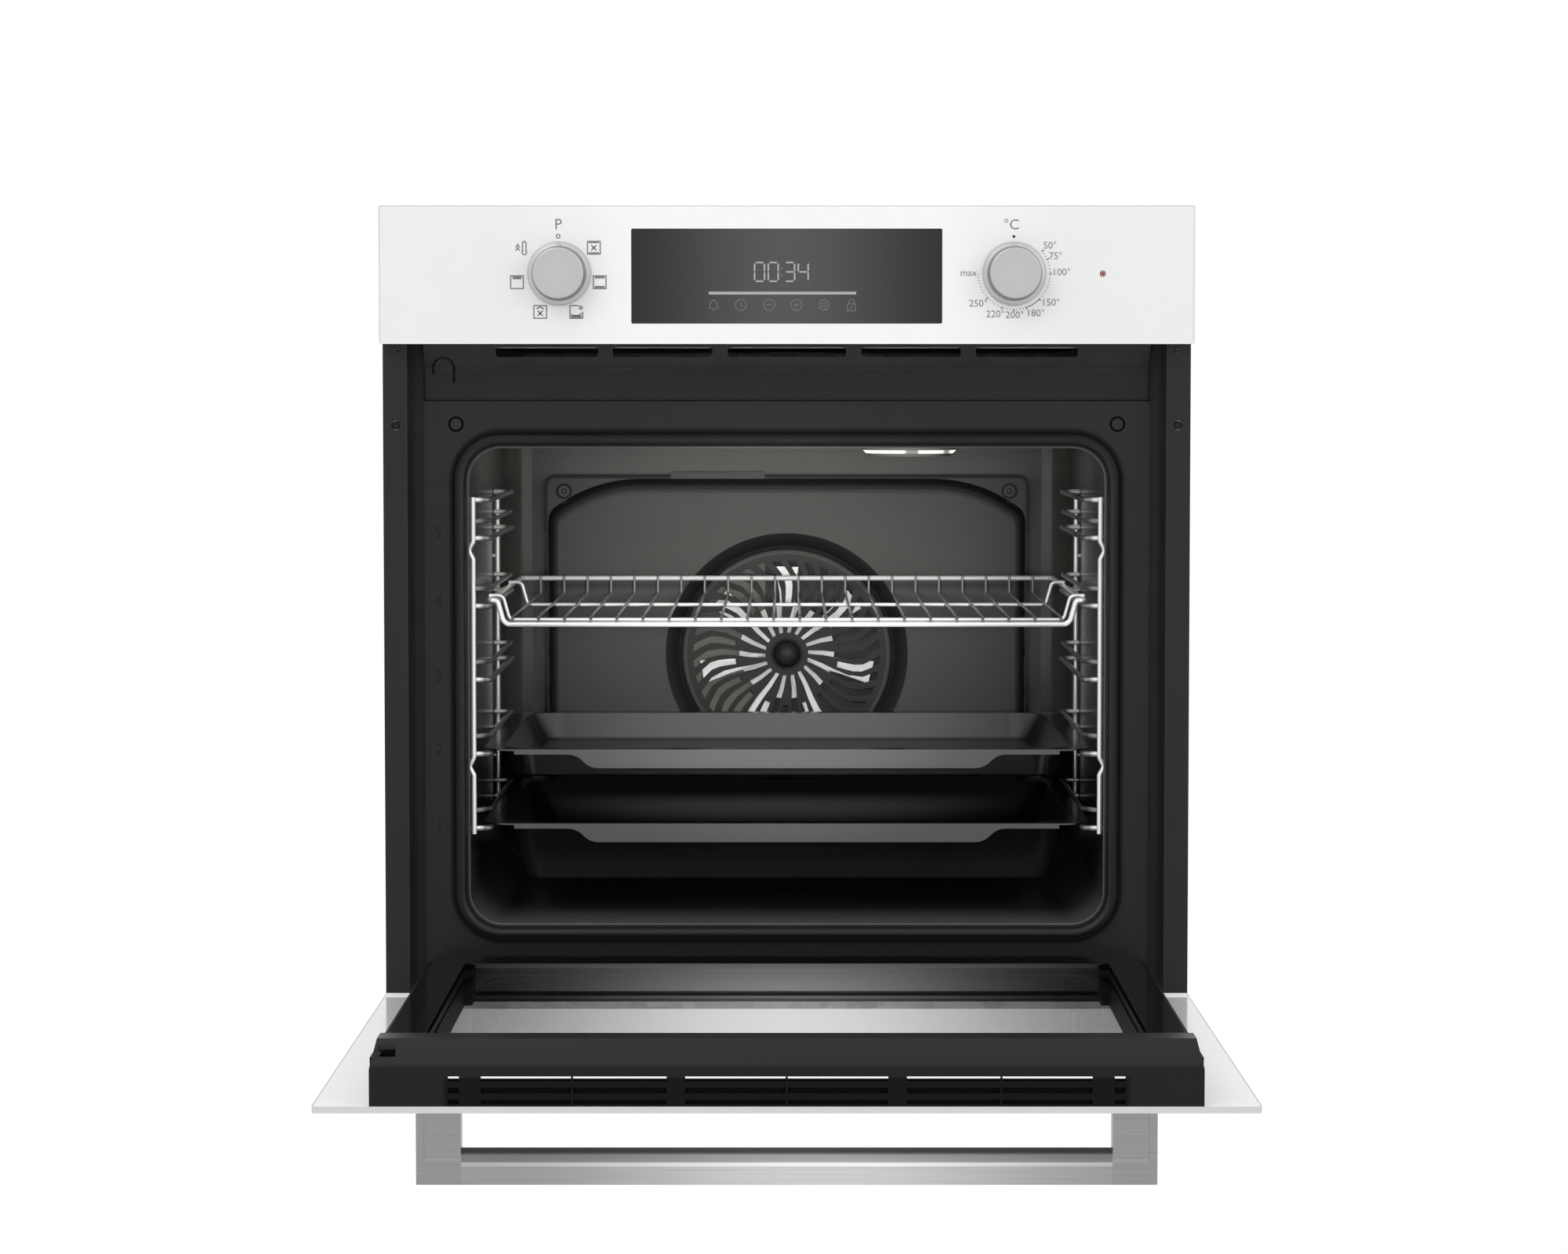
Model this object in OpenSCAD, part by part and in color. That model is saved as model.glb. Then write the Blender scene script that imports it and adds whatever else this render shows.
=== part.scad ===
// Built-in electric oven for a 60 cm cabinet, shown with its door open.
// +X right as seen from the front, +Y to the back, +Z up.
// Origin: centre of the base face that stands on the cabinet's shelf.

/* [Front] */
// Width of the control panel and the door glass
front_w = 594; // [592:1:598]
// Height from the door's lower edge to the panel's top
front_h = 595; // [594:1:600]
// Height of the door's lower edge above the shelf
front_z = 5; // [4:0.5:6]
// Height of the control panel
panel_h = 100.5; // [99:0.5:104]
// Gap between the panel and the door
door_gap = 4; // [3:0.5:5]
// Depth of the panel and the door in front of the fixing flanges
front_proud = 20; // [19:0.5:21]

/* [Case] */
// Width of the case between the cabinet's sides
case_w = 556; // [554:1:558]
// Height of the case
case_h = 590; // [589:1:596]
// Depth of the case behind the front frame
case_d = 522; // [510:1:540]
// Thickness of the case's sheet metal
sheet_t = 1; // [0.8:0.1:1.2]
// Depth of the front frame behind the fixing flanges
frame_recess = 25; // [24:0.5:27]
// Thickness of the enamelled front frame
frame_t = 1.2; // [1:0.1:1.5]
// Height of the flanges' lower edge, under which the door glass swings
flange_z = 20.4; // [20:0.2:22]
// Outer edge of the fixing flanges from the centre
flange_x = 296.4; // [294:0.2:297]
// Radius of the fixing holes in the flanges
fixing_hole_r = 3.4; // [2.5:0.1:4]
// Height of the fixing holes
fixing_hole_z = 440; // [400:1:460]

/* [Cavity] */
// Width of the cavity's mouth
mouth_w = 471; // [468:1:473]
// Distance of the mouth's upper edge below the door's top
mouth_drop = 72.5; // [70:0.5:76]
// Height of the mouth's lower edge
mouth_z = 69; // [68:0.5:70]
// Corner radius of the mouth
mouth_r = 24; // [20:1:28]
// Space between the cavity's back wall and the case's back, for the fan's motor
rear_space = 112; // [110:1:122]
// Rise of the ceiling above the mouth, which hides the grill element
ceiling_rise = 16; // [15:0.5:18]
// Thickness of the enamelled cavity wall
liner_t = 1; // [0.8:0.1:1.2]
// Width of the door seal beside the mouth
gasket_w = 14; // [13:0.5:15]

/* [Convection fan] */
// Distance of the fan's axis below the middle of the mouth
fan_drop = 1; // [-4:0.5:6]
// Diameter of the guard with the swept slots
guard_d = 173; // [168:1:178]
// Diameter of the dished ring round the guard
dish_d = 203; // [198:1:208]
// Number of slots in the guard, long and short in turn
guard_slots = 36; // [24:2:40]
// Diameter of the impeller
impeller_d = 146; // [130:1:150]
// Number of impeller blades
impeller_blades = 7; // [5:1:9]
// Radius of the fan motor's shaft
fan_shaft_r = 4; // [3:0.5:5]

/* [Shelves] */
// Height of the lowest shelf rail above the mouth's lower edge
rail_first = 70.5; // [68:0.5:72]
// Distance of the highest shelf rail below the mouth's upper edge
rail_last = 67; // [64:0.5:70]
// Radius of the side racks' wire
rail_r = 2; // [1.8:0.1:2.2]
// Distance of the rails from the centre
rail_x = 221; // [220:0.1:222]
// Height of the guard wire above each rail
guard_rise = 12.5; // [12:0.5:14]
// Half width of the trays over their rims
tray_x = 227.5; // [226:0.5:228]
// Gap between the trays and the cavity's back wall
tray_gap = 35; // [30:1:45]
// Thickness of the trays' sheet
tray_t = 1; // [0.8:0.1:1.2]
// Depth of the baking tray
baking_depth = 22; // [18:1:30]
// Depth of the deep tray
deep_depth = 45; // [35:1:48]
// Radius of the rack's frame wire
rack_r = 2.1; // [2:0.1:2.4]
// Radius of the rack's wires from side to side
cross_r = 1.5; // [1.3:0.1:1.8]
// Radius of the rack's bars
bar_r = 1; // [0.9:0.1:1.5]
// Number of rack bars on each side of the centre
rack_bars = 11; // [8:1:11]
// Spacing of the rack bars
bar_pitch = 19.5; // [16:0.1:19.5]

/* [Door] */
// Thickness of the outer and inner glass
glass_t = 4; // [3:0.5:4]
// Thickness of the whole door without its ridge
door_t = 34.9; // [34:0.1:34.9]
// Half width of the door's body
door_x = 263; // [261:0.5:265]
// Distance of the hinge pins behind the door's front
pivot_back = 14; // [13.5:0.1:14.5]
// Height of the hinge pins above the door's lower edge
pivot_up = 23.6; // [23:0.1:24]
// Radius of the hinge pins
pin_r = 3; // [2.5:0.1:3.5]
// Rise of the top trim's ridge over the inner glass
ridge_rise = 10; // [8:0.5:10]

/* [Handle] */
// Half width of the handle
handle_x = 232.5; // [220:0.5:240]
// Depth of the handle in front of the door glass
handle_d = 47; // [40:1:50]
// Height of the handle bar
handle_h = 15; // [13:1:18]
// Distance from the door's top to the handle's top
handle_drop = 8; // [6:1:30]
// Width of each handle bracket, with the bar's leg beside it
bracket_w = 28; // [24:1:32]

/* [Controls] */
// Distance of the knobs from the centre
knob_x = 165.5; // [150:0.5:180]
// Height of the knobs above the panel's lower edge
knob_up = 51; // [48:0.5:54]
// Diameter of the knobs' skirts
skirt_d = 46.5; // [42:0.5:50]
// Diameter of the knobs' faces
knob_d = 38; // [34:0.5:40]
// Depth of the knobs in front of the panel
knob_proud = 20; // [16:1:24]
// Radius of the knobs' shafts
knob_shaft_r = 3; // [2.5:0.1:3.5]
// Width of the display window
window_w = 226.4; // [200:0.2:240]
// Height of the display window
window_h = 69; // [60:0.5:75]

/* [Hidden] */
$fn = 48;
running_gap = 0.05;
slide_gap = 0.1;
weld_sink = 0.5;
door_angle = 90;

front_y = -case_d / 2 - frame_recess - front_proud;
flange_y = front_y + front_proud;
frame_y = flange_y + frame_recess;
back_y = case_d / 2;
side_x = case_w / 2;
door_top = front_z + front_h - panel_h - door_gap;
panel_z = door_top + door_gap;
panel_top = panel_z + panel_h;

// Door depths, measured from the front plane
glass_back = front_y + glass_t;
door_back = front_y + door_t;
inner_glass_y = door_back - glass_t;
middle_glass_y = front_y + 22;
pivot_y = front_y + pivot_back;
pivot_z = front_z + pivot_up;
door_low = pivot_z + 5.4;
profile_top = door_top - 25.5;
profile_w = 30;
profile_x = door_x - profile_w;
profile_t = 1.5;
hinge_x = profile_x + 14;
arm_t = 4;
arm_eye_r = 5;
cheek_t = 1.5;
cheek_gap = 0.3;
cheek_x = arm_t / 2 + cheek_gap;

// Cavity
cavity_w = mouth_w + 1;
cavity_low = mouth_z - 0.5;
mouth_top = door_top - mouth_drop;
mouth_h = mouth_top - mouth_z;
cavity_top = mouth_top + ceiling_rise;
cavity_h = cavity_top - cavity_low;
cavity_front = frame_y + frame_t;
cavity_back = back_y - rear_space;
mouth_mid_z = mouth_z + mouth_h / 2;
corner_r = mouth_r + 0.5;
back_corner_r = 22;
wall_x = cavity_w / 2;
flange_fold_x = side_x + 0.6;
frame_x = side_x - 9.4;

// Recessed band of the frame that takes the ridge of the door's trim
ridge_w = 22;
ridge_top = door_top - 14.1;
band_low = ridge_top - ridge_w - 1.8;
band_high = ridge_top + 1.4;
band_y = frame_y + 5.5;
lip_y = frame_y - 7;
lip_z = panel_z;
duct_low = band_low + 10.5;
duct_high = panel_z - 1.5;

// Fan well and cover
fan_z = mouth_mid_z - fan_drop;
well_r = 115;
well_d = 34;
well_back = cavity_back + well_d;
cover_gap = 10;
cover_t = 1.2;
cover_w = 406;
cover_low = mouth_z + 27;
cover_top = mouth_top - 28.5;
cover_back = cavity_back - cover_gap;
cover_y = cover_back - cover_t;
hat_rise = 6;
hat_y = cover_y - hat_rise;
hat_x = cover_w / 2 - 3;
hat_bevel = 9;
cover_screw_x = 186.5;
cover_screw_top = cover_top - 13;
cover_screw_low = cover_low + 13;

// Shelves; the rails' steps are those of the five levels over the lowest rail
rail_steps = [0, 55.5, 111, 166, 216.5];
rail_span = mouth_h - rail_first - rail_last;
rail_z = [for (step = rail_steps) mouth_z + rail_first + rail_span * step / rail_steps[4]];
post_x = 233;
post_front = frame_y + 5;
post_rear = cavity_back - 150;
rack_level = 3;
tray_front = frame_y + 10;
tray_back = cavity_back - tray_gap;
tray_l = tray_back - tray_front;
rim_w = 13;
runner_x = rail_x + 0.5;

// Handle, measured from the front plane
handle_top = door_top - handle_drop;
handle_y = front_y - handle_d;
leg_w = 5;
bar_d = 14.5;

// Controls
knob_z = panel_z + knob_up;
window_z = panel_z + 49.2;
panel_t = 3;
bracket_t = 1.5;
bracket_y = flange_y - bracket_t;
indicator_x = 230;
indicator_r = 2.2;

// Cooling blower
blower_y = back_y - 171;
blower_r = 78;
blower_h = 42;
wheel_r = 62;
motor_r = 28;
blower_top = duct_high + blower_h;

// ---- shared shapes ----

// A rectangle centred on the origin with corners of radius r
module rounded_rect(w, h, r) {
  square([w - 2 * r, h], center = true);
  square([w, h - 2 * r], center = true);
  for (x = [-1, 1], y = [-1, 1])
    translate([x * (w / 2 - r), y * (h / 2 - r)]) circle(r);
}

// An outline in X and Z, made solid from y0 back to y1
module plate_xz(y0, y1) {
  translate([0, y1, 0]) rotate([90, 0, 0]) linear_extrude(y1 - y0) children();
}

// An outline in Y and Z, made solid from x0 to x1
module plate_yz(x0, x1) {
  translate([x0, 0, 0]) rotate([90, 0, 90]) linear_extrude(x1 - x0) children();
}

// A box given by its lowest and highest corners
module block(low, high) {
  translate(low) cube(high - low);
}

// A cylinder along Y from y0 to y1
module rod_y(x, z, y0, y1, r) {
  translate([x, y0, z]) rotate([-90, 0, 0]) cylinder(r = r, h = y1 - y0);
}

// A cylinder along X from x0 to x1
module rod_x(y, z, x0, x1, r) {
  translate([x0, y, z]) rotate([0, 90, 0]) cylinder(r = r, h = x1 - x0);
}

// A profile in radius and depth, turned round an axis along Y; depth grows to the back
module turned_y(x, z) {
  translate([x, 0, z]) rotate([-90, 0, 0]) rotate_extrude() children();
}

// A round wire from p to q
module wire(p, q, r) {
  d = q - p;
  l = norm(d);
  translate(p) rotate([0, acos(d[2] / l), atan2(d[1], d[0])]) cylinder(r = r, h = l);
}

// A bent round wire through a list of points; bend is the middle line's radius at every
// bend, or a list with one radius for each point
module bent_wire(points, r, bend, closed = false) {
  n = len(points);
  swell = 0.03;
  poke = 0.15;
  first = closed ? 0 : 1;
  last = closed ? n - 1 : n - 2;
  at = function(i) points[(i + n) % n];
  way = function(i) let (d = at(i + 1) - at(i)) d / norm(d);
  turn = function(i) acos(max(-1, min(1, way(i - 1) * way(i))));
  round_at = function(i) is_list(bend) ? bend[(i + n) % n] : bend;
  cut = function(i) i < first || i > last ? 0 : round_at(i) * tan(turn(i) / 2) - poke;
  for (i = [0 : closed ? n - 1 : n - 2])
    wire(at(i) + way(i) * cut(i), at(i + 1) - way(i) * cut((i + 1) % n), r);
  for (i = [first : last]) {
    u = way(i - 1);
    side = way(i) - u * (u * way(i));
    v = side / norm(side);
    w = cross(u, v);
    c = at(i) - u * round_at(i) * tan(turn(i) / 2) + v * round_at(i);
    multmatrix([
      [-v[0], u[0], w[0], c[0]], [-v[1], u[1], w[1], c[1]], [-v[2], u[2], w[2], c[2]]
    ])
      rotate_extrude(angle = turn(i)) translate([round_at(i), 0]) circle(r + swell);
  }
}

// The points of an arc in the plane, from angle a0 to a1 in n steps
function arc(c, r, a0, a1, n) =
  [for (i = [0 : n]) let (a = a0 + (a1 - a0) * i / n) [c[0] + r * cos(a), c[1] + r * sin(a)]];

// The left and right copy of a shape
module both_sides() {
  children();
  mirror([1, 0, 0]) children();
}

// Swings a shape drawn on the closed door down to the open door
module on_open_door() {
  translate([0, pivot_y, pivot_z]) rotate([door_angle, 0, 0])
    translate([0, -pivot_y, -pivot_z]) children();
}

// ---- case ----

module base_plate() color("silver") {
  upstand = 14;
  difference() {
    union() {
      block([-side_x, frame_y, 0], [side_x, back_y, sheet_t]);
      block([-side_x + sheet_t, frame_y, sheet_t],
            [side_x - sheet_t, frame_y + frame_t, flange_z]);
      both_sides()
        block([side_x - 2 * sheet_t, frame_y + frame_t, sheet_t],
              [side_x - sheet_t, back_y - sheet_t, sheet_t + upstand]);
    }
    // air inlets under the cavity
    for (x = [-180 : 60 : 180])
      translate([x, frame_y + 60, -1]) linear_extrude(sheet_t + 2) rounded_rect(36, 7, 3.4);
  }
}

module side_panel() {
  vent_n = 6;
  vent_pitch = 22;
  difference() {
    block([side_x - sheet_t, frame_y, sheet_t], [side_x, back_y - sheet_t, case_h - sheet_t]);
    for (i = [0 : vent_n - 1])
      translate([0, back_y - 50 - i * vent_pitch, case_h - 55])
        plate_yz(side_x - 3, side_x + 1) rounded_rect(7, 60, 3.4);
  }
}

module left_side_panel() color("silver") mirror([1, 0, 0]) side_panel();

module right_side_panel() color("silver") side_panel();

module back_panel() color("silver") {
  motor_vents = 9;
  difference() {
    block([-side_x + sheet_t, back_y - sheet_t, sheet_t],
          [side_x - sheet_t, back_y, case_h - sheet_t]);
    for (i = [0 : motor_vents - 1], side = [-1, 1])
      translate([side * 150, 0, fan_z - 60 + i * 15])
        plate_xz(back_y - 3, back_y + 1) rounded_rect(70, 6, 2.9);
    rod_y(terminal_x, terminal_z, back_y - 3, back_y + 1, inlet_r + 2.5);
  }
}

module top_cover() color("silver") {
  vent_pitch = 24;
  difference() {
    block([-side_x, flange_y + sheet_t, case_h - sheet_t], [side_x, back_y, case_h]);
    for (i = [-4 : 4])
      translate([i * vent_pitch, blower_y, case_h - 3])
        linear_extrude(5) rounded_rect(7, 90, 3.4);
  }
}

// Sheet profile of the flange, the slope to the frame and the leg on the side panel
module side_trim() {
  leg_y = cavity_front + 15;
  panel_x = side_x - sheet_t;
  difference() {
    translate([0, 0, flange_z]) linear_extrude(case_h - sheet_t - flange_z)
      polygon([
        [flange_x, flange_y], [flange_fold_x, flange_y], [frame_x, frame_y],
        [frame_x, cavity_front], [panel_x - sheet_t, cavity_front],
        [panel_x - sheet_t, leg_y], [panel_x, leg_y],
        [panel_x, cavity_front - sheet_t], [frame_x + 1.4, cavity_front - sheet_t],
        [flange_fold_x + 1.2, flange_y + sheet_t], [flange_x, flange_y + sheet_t]
      ]);
    rod_y(fixing_x, fixing_hole_z, flange_y - 1, flange_y + 3, fixing_hole_r);
    rod_y(fixing_x - 1, fixing_hole_z + 54.2, flange_y - 1, flange_y + 3, 1.6);
  }
  // pressed collar round the fixing hole
  difference() {
    rod_y(fixing_x, fixing_hole_z, flange_y - 0.5, flange_y + 0.1, fixing_hole_r + 2.3);
    rod_y(fixing_x, fixing_hole_z, flange_y - 1, flange_y + 1, fixing_hole_r);
  }
}
fixing_x = flange_x - 9.4;

module left_side_trim() color("#2b2b2b") mirror([1, 0, 0]) side_trim();

module right_side_trim() color("#2b2b2b") side_trim();

// Half of the air outlet slots, as lists of their inner and outer ends
outlet_slots = [[-43.8, 43.8], [55, 128.5], [139.4, 215]];
outlet_h = 6.9;

module front_frame() color("#2b2b2b") {
  mark_x = 254.2;
  difference() {
    plate_yz(-frame_x, frame_x)
      polygon([
        [frame_y, flange_z], [frame_y, band_low], [band_y, band_low + 1],
        [band_y, band_high], [lip_y, lip_z], [flange_y, lip_z],
        [flange_y, lip_z + frame_t], [lip_y + frame_t, lip_z + frame_t],
        [band_y + frame_t, band_high + frame_t], [band_y + frame_t, band_low - 1],
        [cavity_front, band_low - 2], [cavity_front, flange_z]
      ]);
    // mouth of the cavity
    translate([0, 0, mouth_mid_z])
      plate_xz(frame_y - 1, frame_y + 4) rounded_rect(mouth_w, mouth_h, mouth_r);
    // air outlets
    for (slot = outlet_slots, side = [-1, 1])
      translate([side * (slot[0] + slot[1]) / 2, 0, lip_z - 2.2 - outlet_h / 2])
        plate_xz(lip_y - 2, band_y + 3)
          rounded_rect(slot[1] - slot[0], outlet_h, 2.4);
    // slots for the hinge arms
    both_sides()
      block([hinge_x - 4, frame_y - 1, pivot_z - 6.6],
            [hinge_x + 4, cavity_front + 1, pivot_z + 6.4]);
    // holes for the frame screws
    both_sides()
      rod_y(screw_x, screw_z, frame_y - 1, cavity_front + 1, 4.6);
    // lanced arch of the door catch, cut as a groove round its tongue
    translate([-mark_x, 0, band_high - 0.8])
      plate_xz(lip_y - 1, band_y + 3) difference() {
        union() {
          circle(8.6);
          translate([-8.6, -10.6]) square([17.2, 10.6]);
        }
        circle(6.8);
        translate([-6.8, -12]) square([13.6, 12]);
        translate([-9, -12]) square([4, 8]);
      }
  }
}
screw_x = 244.8;
screw_z = band_low - 16.8;

module frame_screws() color("#2b2b2b") both_sides() {
  rod_y(screw_x, screw_z, frame_y - 0.4, cavity_front, 4.2);
  rod_y(screw_x, screw_z, cavity_front - 0.2, cavity_front + 3, 4.6);
}

// ---- cavity ----

// The cavity's space grown by g: rounded seen from the front, from above and from the side
module cavity_space(g, front) {
  mid_z = (cavity_low + cavity_top) / 2;
  d = cavity_back - front + g;
  intersection() {
    translate([0, 0, mid_z]) plate_xz(front, front + d)
      rounded_rect(cavity_w + 2 * g, cavity_h + 2 * g, corner_r + g);
    translate([0, front + d / 2 - 25, cavity_low - 5]) linear_extrude(cavity_h + 10)
      rounded_rect(cavity_w + 2 * g, d + 50, back_corner_r + g);
    translate([0, front + d / 2 - 25, mid_z]) plate_yz(-wall_x - 5, wall_x + 5)
      rounded_rect(d + 50, cavity_h + 2 * g, back_corner_r + g);
  }
}

module cavity_liner() color("#3a3a3a") {
  weld_w = 12;
  difference() {
    union() {
      cavity_space(liner_t, cavity_front);
      rod_y(0, fan_z, cavity_back, well_back + liner_t, well_r + liner_t);
      // welding flange behind the front frame
      translate([0, 0, (cavity_low + cavity_top) / 2])
        plate_xz(cavity_front, cavity_front + liner_t)
          rounded_rect(cavity_w + 2 * weld_w, cavity_h + 2 * weld_w, corner_r + weld_w);
    }
    cavity_space(0, cavity_front - 1);
    rod_y(0, fan_z, cavity_back - 1, well_back, well_r);
    rod_y(0, fan_z, well_back - 1, well_back + 2, fan_shaft_r + 2);
    // pockets for the side racks' hooks
    both_sides() for (z = hook_z)
      block([wall_x - 1, post_front - 4, z - 9], [wall_x + 2, post_front + 4, z + 9]);
    // ceiling hole for the lamp
    translate([lamp_x, lamp_y, cavity_top - 1]) cylinder(r = lamp_hole_r, h = 3);
    // holes for the element terminals and the cover's screws
    for (x = grill_ends) rod_y(x, grill_z, cavity_back - 15, cavity_back + 3, element_r);
    for (x = ring_ends) rod_y(x, ring_end_z, well_back - 1, well_back + 3, element_r);
    for (x = [-1, 1], z = [cover_screw_top, cover_screw_low])
      rod_y(x * cover_screw_x, z, cavity_back - 1, cavity_back + 3, 2);
  }
}
hook_z = [rail_z[0] + 46.5, rail_z[4] - 9];
lamp_x = 97;
lamp_y = frame_y + 205;
lamp_hole_r = 22;
lamp_r = 40;

module insulation() color("khaki") {
  wool = 24;
  front = frame_y + 52;
  out_x = wall_x + liner_t + wool;
  difference() {
    block([-out_x, front, cavity_low - liner_t - 13 - wool],
          [out_x, cavity_back - 5, cavity_top + liner_t + wool]);
    block([-wall_x - liner_t, front - 1, cavity_low - liner_t - 13],
          [wall_x + liner_t, cavity_back, cavity_top + liner_t]);
    translate([lamp_x, lamp_y, cavity_top]) cylinder(r = lamp_hole_r + 5, h = wool + 3);
  }
}

// Seal: a flat foot and a round bulb that follow the mouth
module door_gasket() color("#1d1d1d") {
  foot_t = 3;
  bulb_r = 4.8;
  bulb_y = door_back + 0.4 + bulb_r;
  w = mouth_w + gasket_w;
  h = mouth_h + gasket_w;
  r = mouth_r + gasket_w / 2;
  translate([0, 0, mouth_mid_z]) {
    plate_xz(frame_y - foot_t, frame_y) difference() {
      rounded_rect(w + gasket_w, h + gasket_w, r + gasket_w / 2);
      rounded_rect(w - gasket_w + 2, h - gasket_w + 2, r - gasket_w / 2 + 1);
    }
    for (z = [-h / 2, h / 2]) rod_x(bulb_y, z, -w / 2 + r, w / 2 - r, bulb_r);
    for (x = [-w / 2, w / 2])
      translate([x, bulb_y, -h / 2 + r]) cylinder(r = bulb_r, h = h - 2 * r);
    for (sx = [-1, 1], sz = [-1, 1])
      translate([sx * (w / 2 - r), bulb_y, sz * (h / 2 - r)])
        rotate([90, 0, 0]) rotate([0, 0, sx > 0 ? (sz > 0 ? 0 : 270) : (sz > 0 ? 90 : 180)])
          rotate_extrude(angle = 90) translate([r, 0]) circle(bulb_r);
  }
}

// ---- fan cover and guard ----

// Right half of the raised panel's outline at an inset from its foot: a straight side, a
// small arc and a long shallow arc up to the crown
function hat_half(inset) = let (
  shoulder = [hat_x - 16, cover_top - 38.5],
  crown_r = 118,
  crown = [123, cover_top - 2.5 - crown_r]
) [
  [hat_x - inset, cover_low + 24 + inset],
  each arc(shoulder, 16 - inset, 0, 60, 4),
  each arc(crown, crown_r - inset, 60, 90, 6)
];

// The raised panel, pressed out of the sheet with an edge that is a quarter of an ellipse;
// thick is its distance inside the outer surface, and foot_y is where it starts
module hat(thick, foot_y) {
  steps = 4;
  rings = [
    [thick, foot_y],
    for (i = [0 : steps]) [
      thick + hat_bevel * (1 - cos(90 * i / steps)),
      cover_y + thick - hat_rise * sin(90 * i / steps)
    ]
  ];
  half = [for (ring = rings) hat_half(ring[0])];
  n = len(half[0]);
  points = [
    for (k = [0 : len(rings) - 1]) each [
      for (p = half[k]) [p[0], rings[k][1], p[1]],
      for (i = [n - 1 : -1 : 0]) [-half[k][i][0], rings[k][1], half[k][i][1]]
    ]
  ];
  m = 2 * n;
  last = len(rings) - 1;
  polyhedron(points, [
    [for (i = [0 : m - 1]) i],
    [for (i = [m - 1 : -1 : 0]) last * m + i],
    for (k = [0 : last - 1], i = [0 : m - 1])
      [k * m + i, (k + 1) * m + i, (k + 1) * m + (i + 1) % m, k * m + (i + 1) % m]
  ]);
}

// Direction of a guard slot at radius r: in to the middle, then swept out to the rim
function slot_turn(r) = r < 45 ? -7 * (r - 17) / 28 : (r < 62 ? -7 : -7 + 9 * (r - 62) / 17);

// Half the width of a guard slot at radius r
function slot_half(r) = 0.9 + 0.034 * r * 36 / guard_slots;

// One guard slot from radius r0 to r1
module guard_slot(r0, r1) {
  n = 5;
  radii = [for (i = [0 : n]) r0 + (r1 - r0) * i / n];
  edge = function(s) [for (r = radii) let (a = slot_turn(r) + s * asin(slot_half(r) / r))
    [r * cos(a), r * sin(a)]];
  out = edge(1);
  polygon([each edge(-1), for (i = [n : -1 : 0]) out[i]]);
}

module fan_cover() color("#474747") {
  rim_r = guard_d / 2;
  ring_r = dish_d / 2;
  dish_y = cover_back;
  guard_y = hat_y + 3;
  slot_out = rim_r - 8;
  outlet_pitch = 34;
  hub_r = 13;
  mid_z = (cover_low + cover_top) / 2;
  difference() {
    union() {
      translate([0, 0, mid_z]) plate_xz(cover_y, cover_back)
        rounded_rect(cover_w, cover_top - cover_low, 9);
      hat(0, cover_back);
      // tongue on the upper edge, by which the cover hangs
      block([-97, cover_y, cover_top - 2], [-19, cover_back, cover_top + 3]);
      // feet that stand on the cavity's back wall round the screws
      for (x = [-1, 1], z = [cover_screw_top, cover_screw_low])
        rod_y(x * cover_screw_x, z, cover_back, cavity_back, 8);
    }
    hat(cover_t, cover_back + 1);
    rod_y(0, fan_z, hat_y - 1, cover_back + 1, ring_r);
    for (x = [-1, 1], z = [cover_screw_top, cover_screw_low])
      rod_y(x * cover_screw_x, z, cover_y - 1, cavity_back + 1, 2.2);
    // the rim is cut back at the sides, where outlets in the pressed edge let the hot air out
    both_sides() {
      block([hat_x + 1, cover_y - 1, cover_low + 50], [hat_x + 5, cover_back + 1, cover_top - 48]);
      for (z = [cover_low + 54 : outlet_pitch : cover_top - 80])
        block([hat_x - 4, cover_y - 3, z], [hat_x + 1, cover_y - 0.6, z + outlet_pitch - 8]);
    }
  }
  // dished ring round the guard
  turned_y(0, fan_z) polygon([
    [ring_r, hat_y], [ring_r + 0.4, hat_y], [ring_r + 0.4, hat_y + cover_t],
    [rim_r + 5, dish_y + cover_t], [rim_r - 1, dish_y + cover_t],
    [rim_r - 1, guard_y + cover_t], [rim_r - 2, guard_y + cover_t],
    [rim_r - 2, guard_y], [rim_r, guard_y + 0.6], [rim_r, dish_y], [rim_r + 4.5, dish_y]
  ]);
  // guard with swept slots
  plate_xz(guard_y, guard_y + cover_t) translate([0, fan_z]) difference() {
    circle(rim_r - 1.5);
    for (i = [0 : guard_slots - 1])
      rotate([0, 0, 360 / guard_slots * (i + 0.5)])
        guard_slot(i % 2 == 0 ? hub_r + 5 : rim_r * 0.5, slot_out);
  }
  // domed hub
  turned_y(0, fan_z) polygon([
    each arc([0, guard_y + 8], hub_r + 1, -36, -90, 6),
    [0, guard_y + 0.6], [hub_r - 1, guard_y + 0.6]
  ]);
}

module fan_cover_screws() color("#3a3a3a")
  for (x = [-1, 1], z = [cover_screw_top, cover_screw_low]) {
    rod_y(x * cover_screw_x, z, cover_y - 2, cover_y, 6.5);
    rod_y(x * cover_screw_x, z, cover_y - 0.5, cavity_back + 3, 2);
  }

element_r = 3.25;
element_bend = 14;
ring_r0 = 95;
ring_open = 8;
ring_ends = [-ring_r0 * sin(ring_open), ring_r0 * sin(ring_open)];
ring_end_z = fan_z - ring_r0 * cos(ring_open);
ring_y = cavity_back + 17;

module ring_heater() color("dimgray") {
  socket_r = element_r + 1;
  translate([0, ring_y, fan_z]) rotate([90, 0, 0]) rotate([0, 0, ring_open - 90])
    rotate_extrude(angle = 360 - 2 * ring_open) translate([ring_r0, 0]) circle(element_r);
  for (x = ring_ends) {
    rod_y(x, ring_end_z, ring_y - socket_r, ring_y + socket_r, socket_r);
    rod_y(x, ring_end_z, ring_y, well_back + 14, element_r);
  }
}

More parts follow.
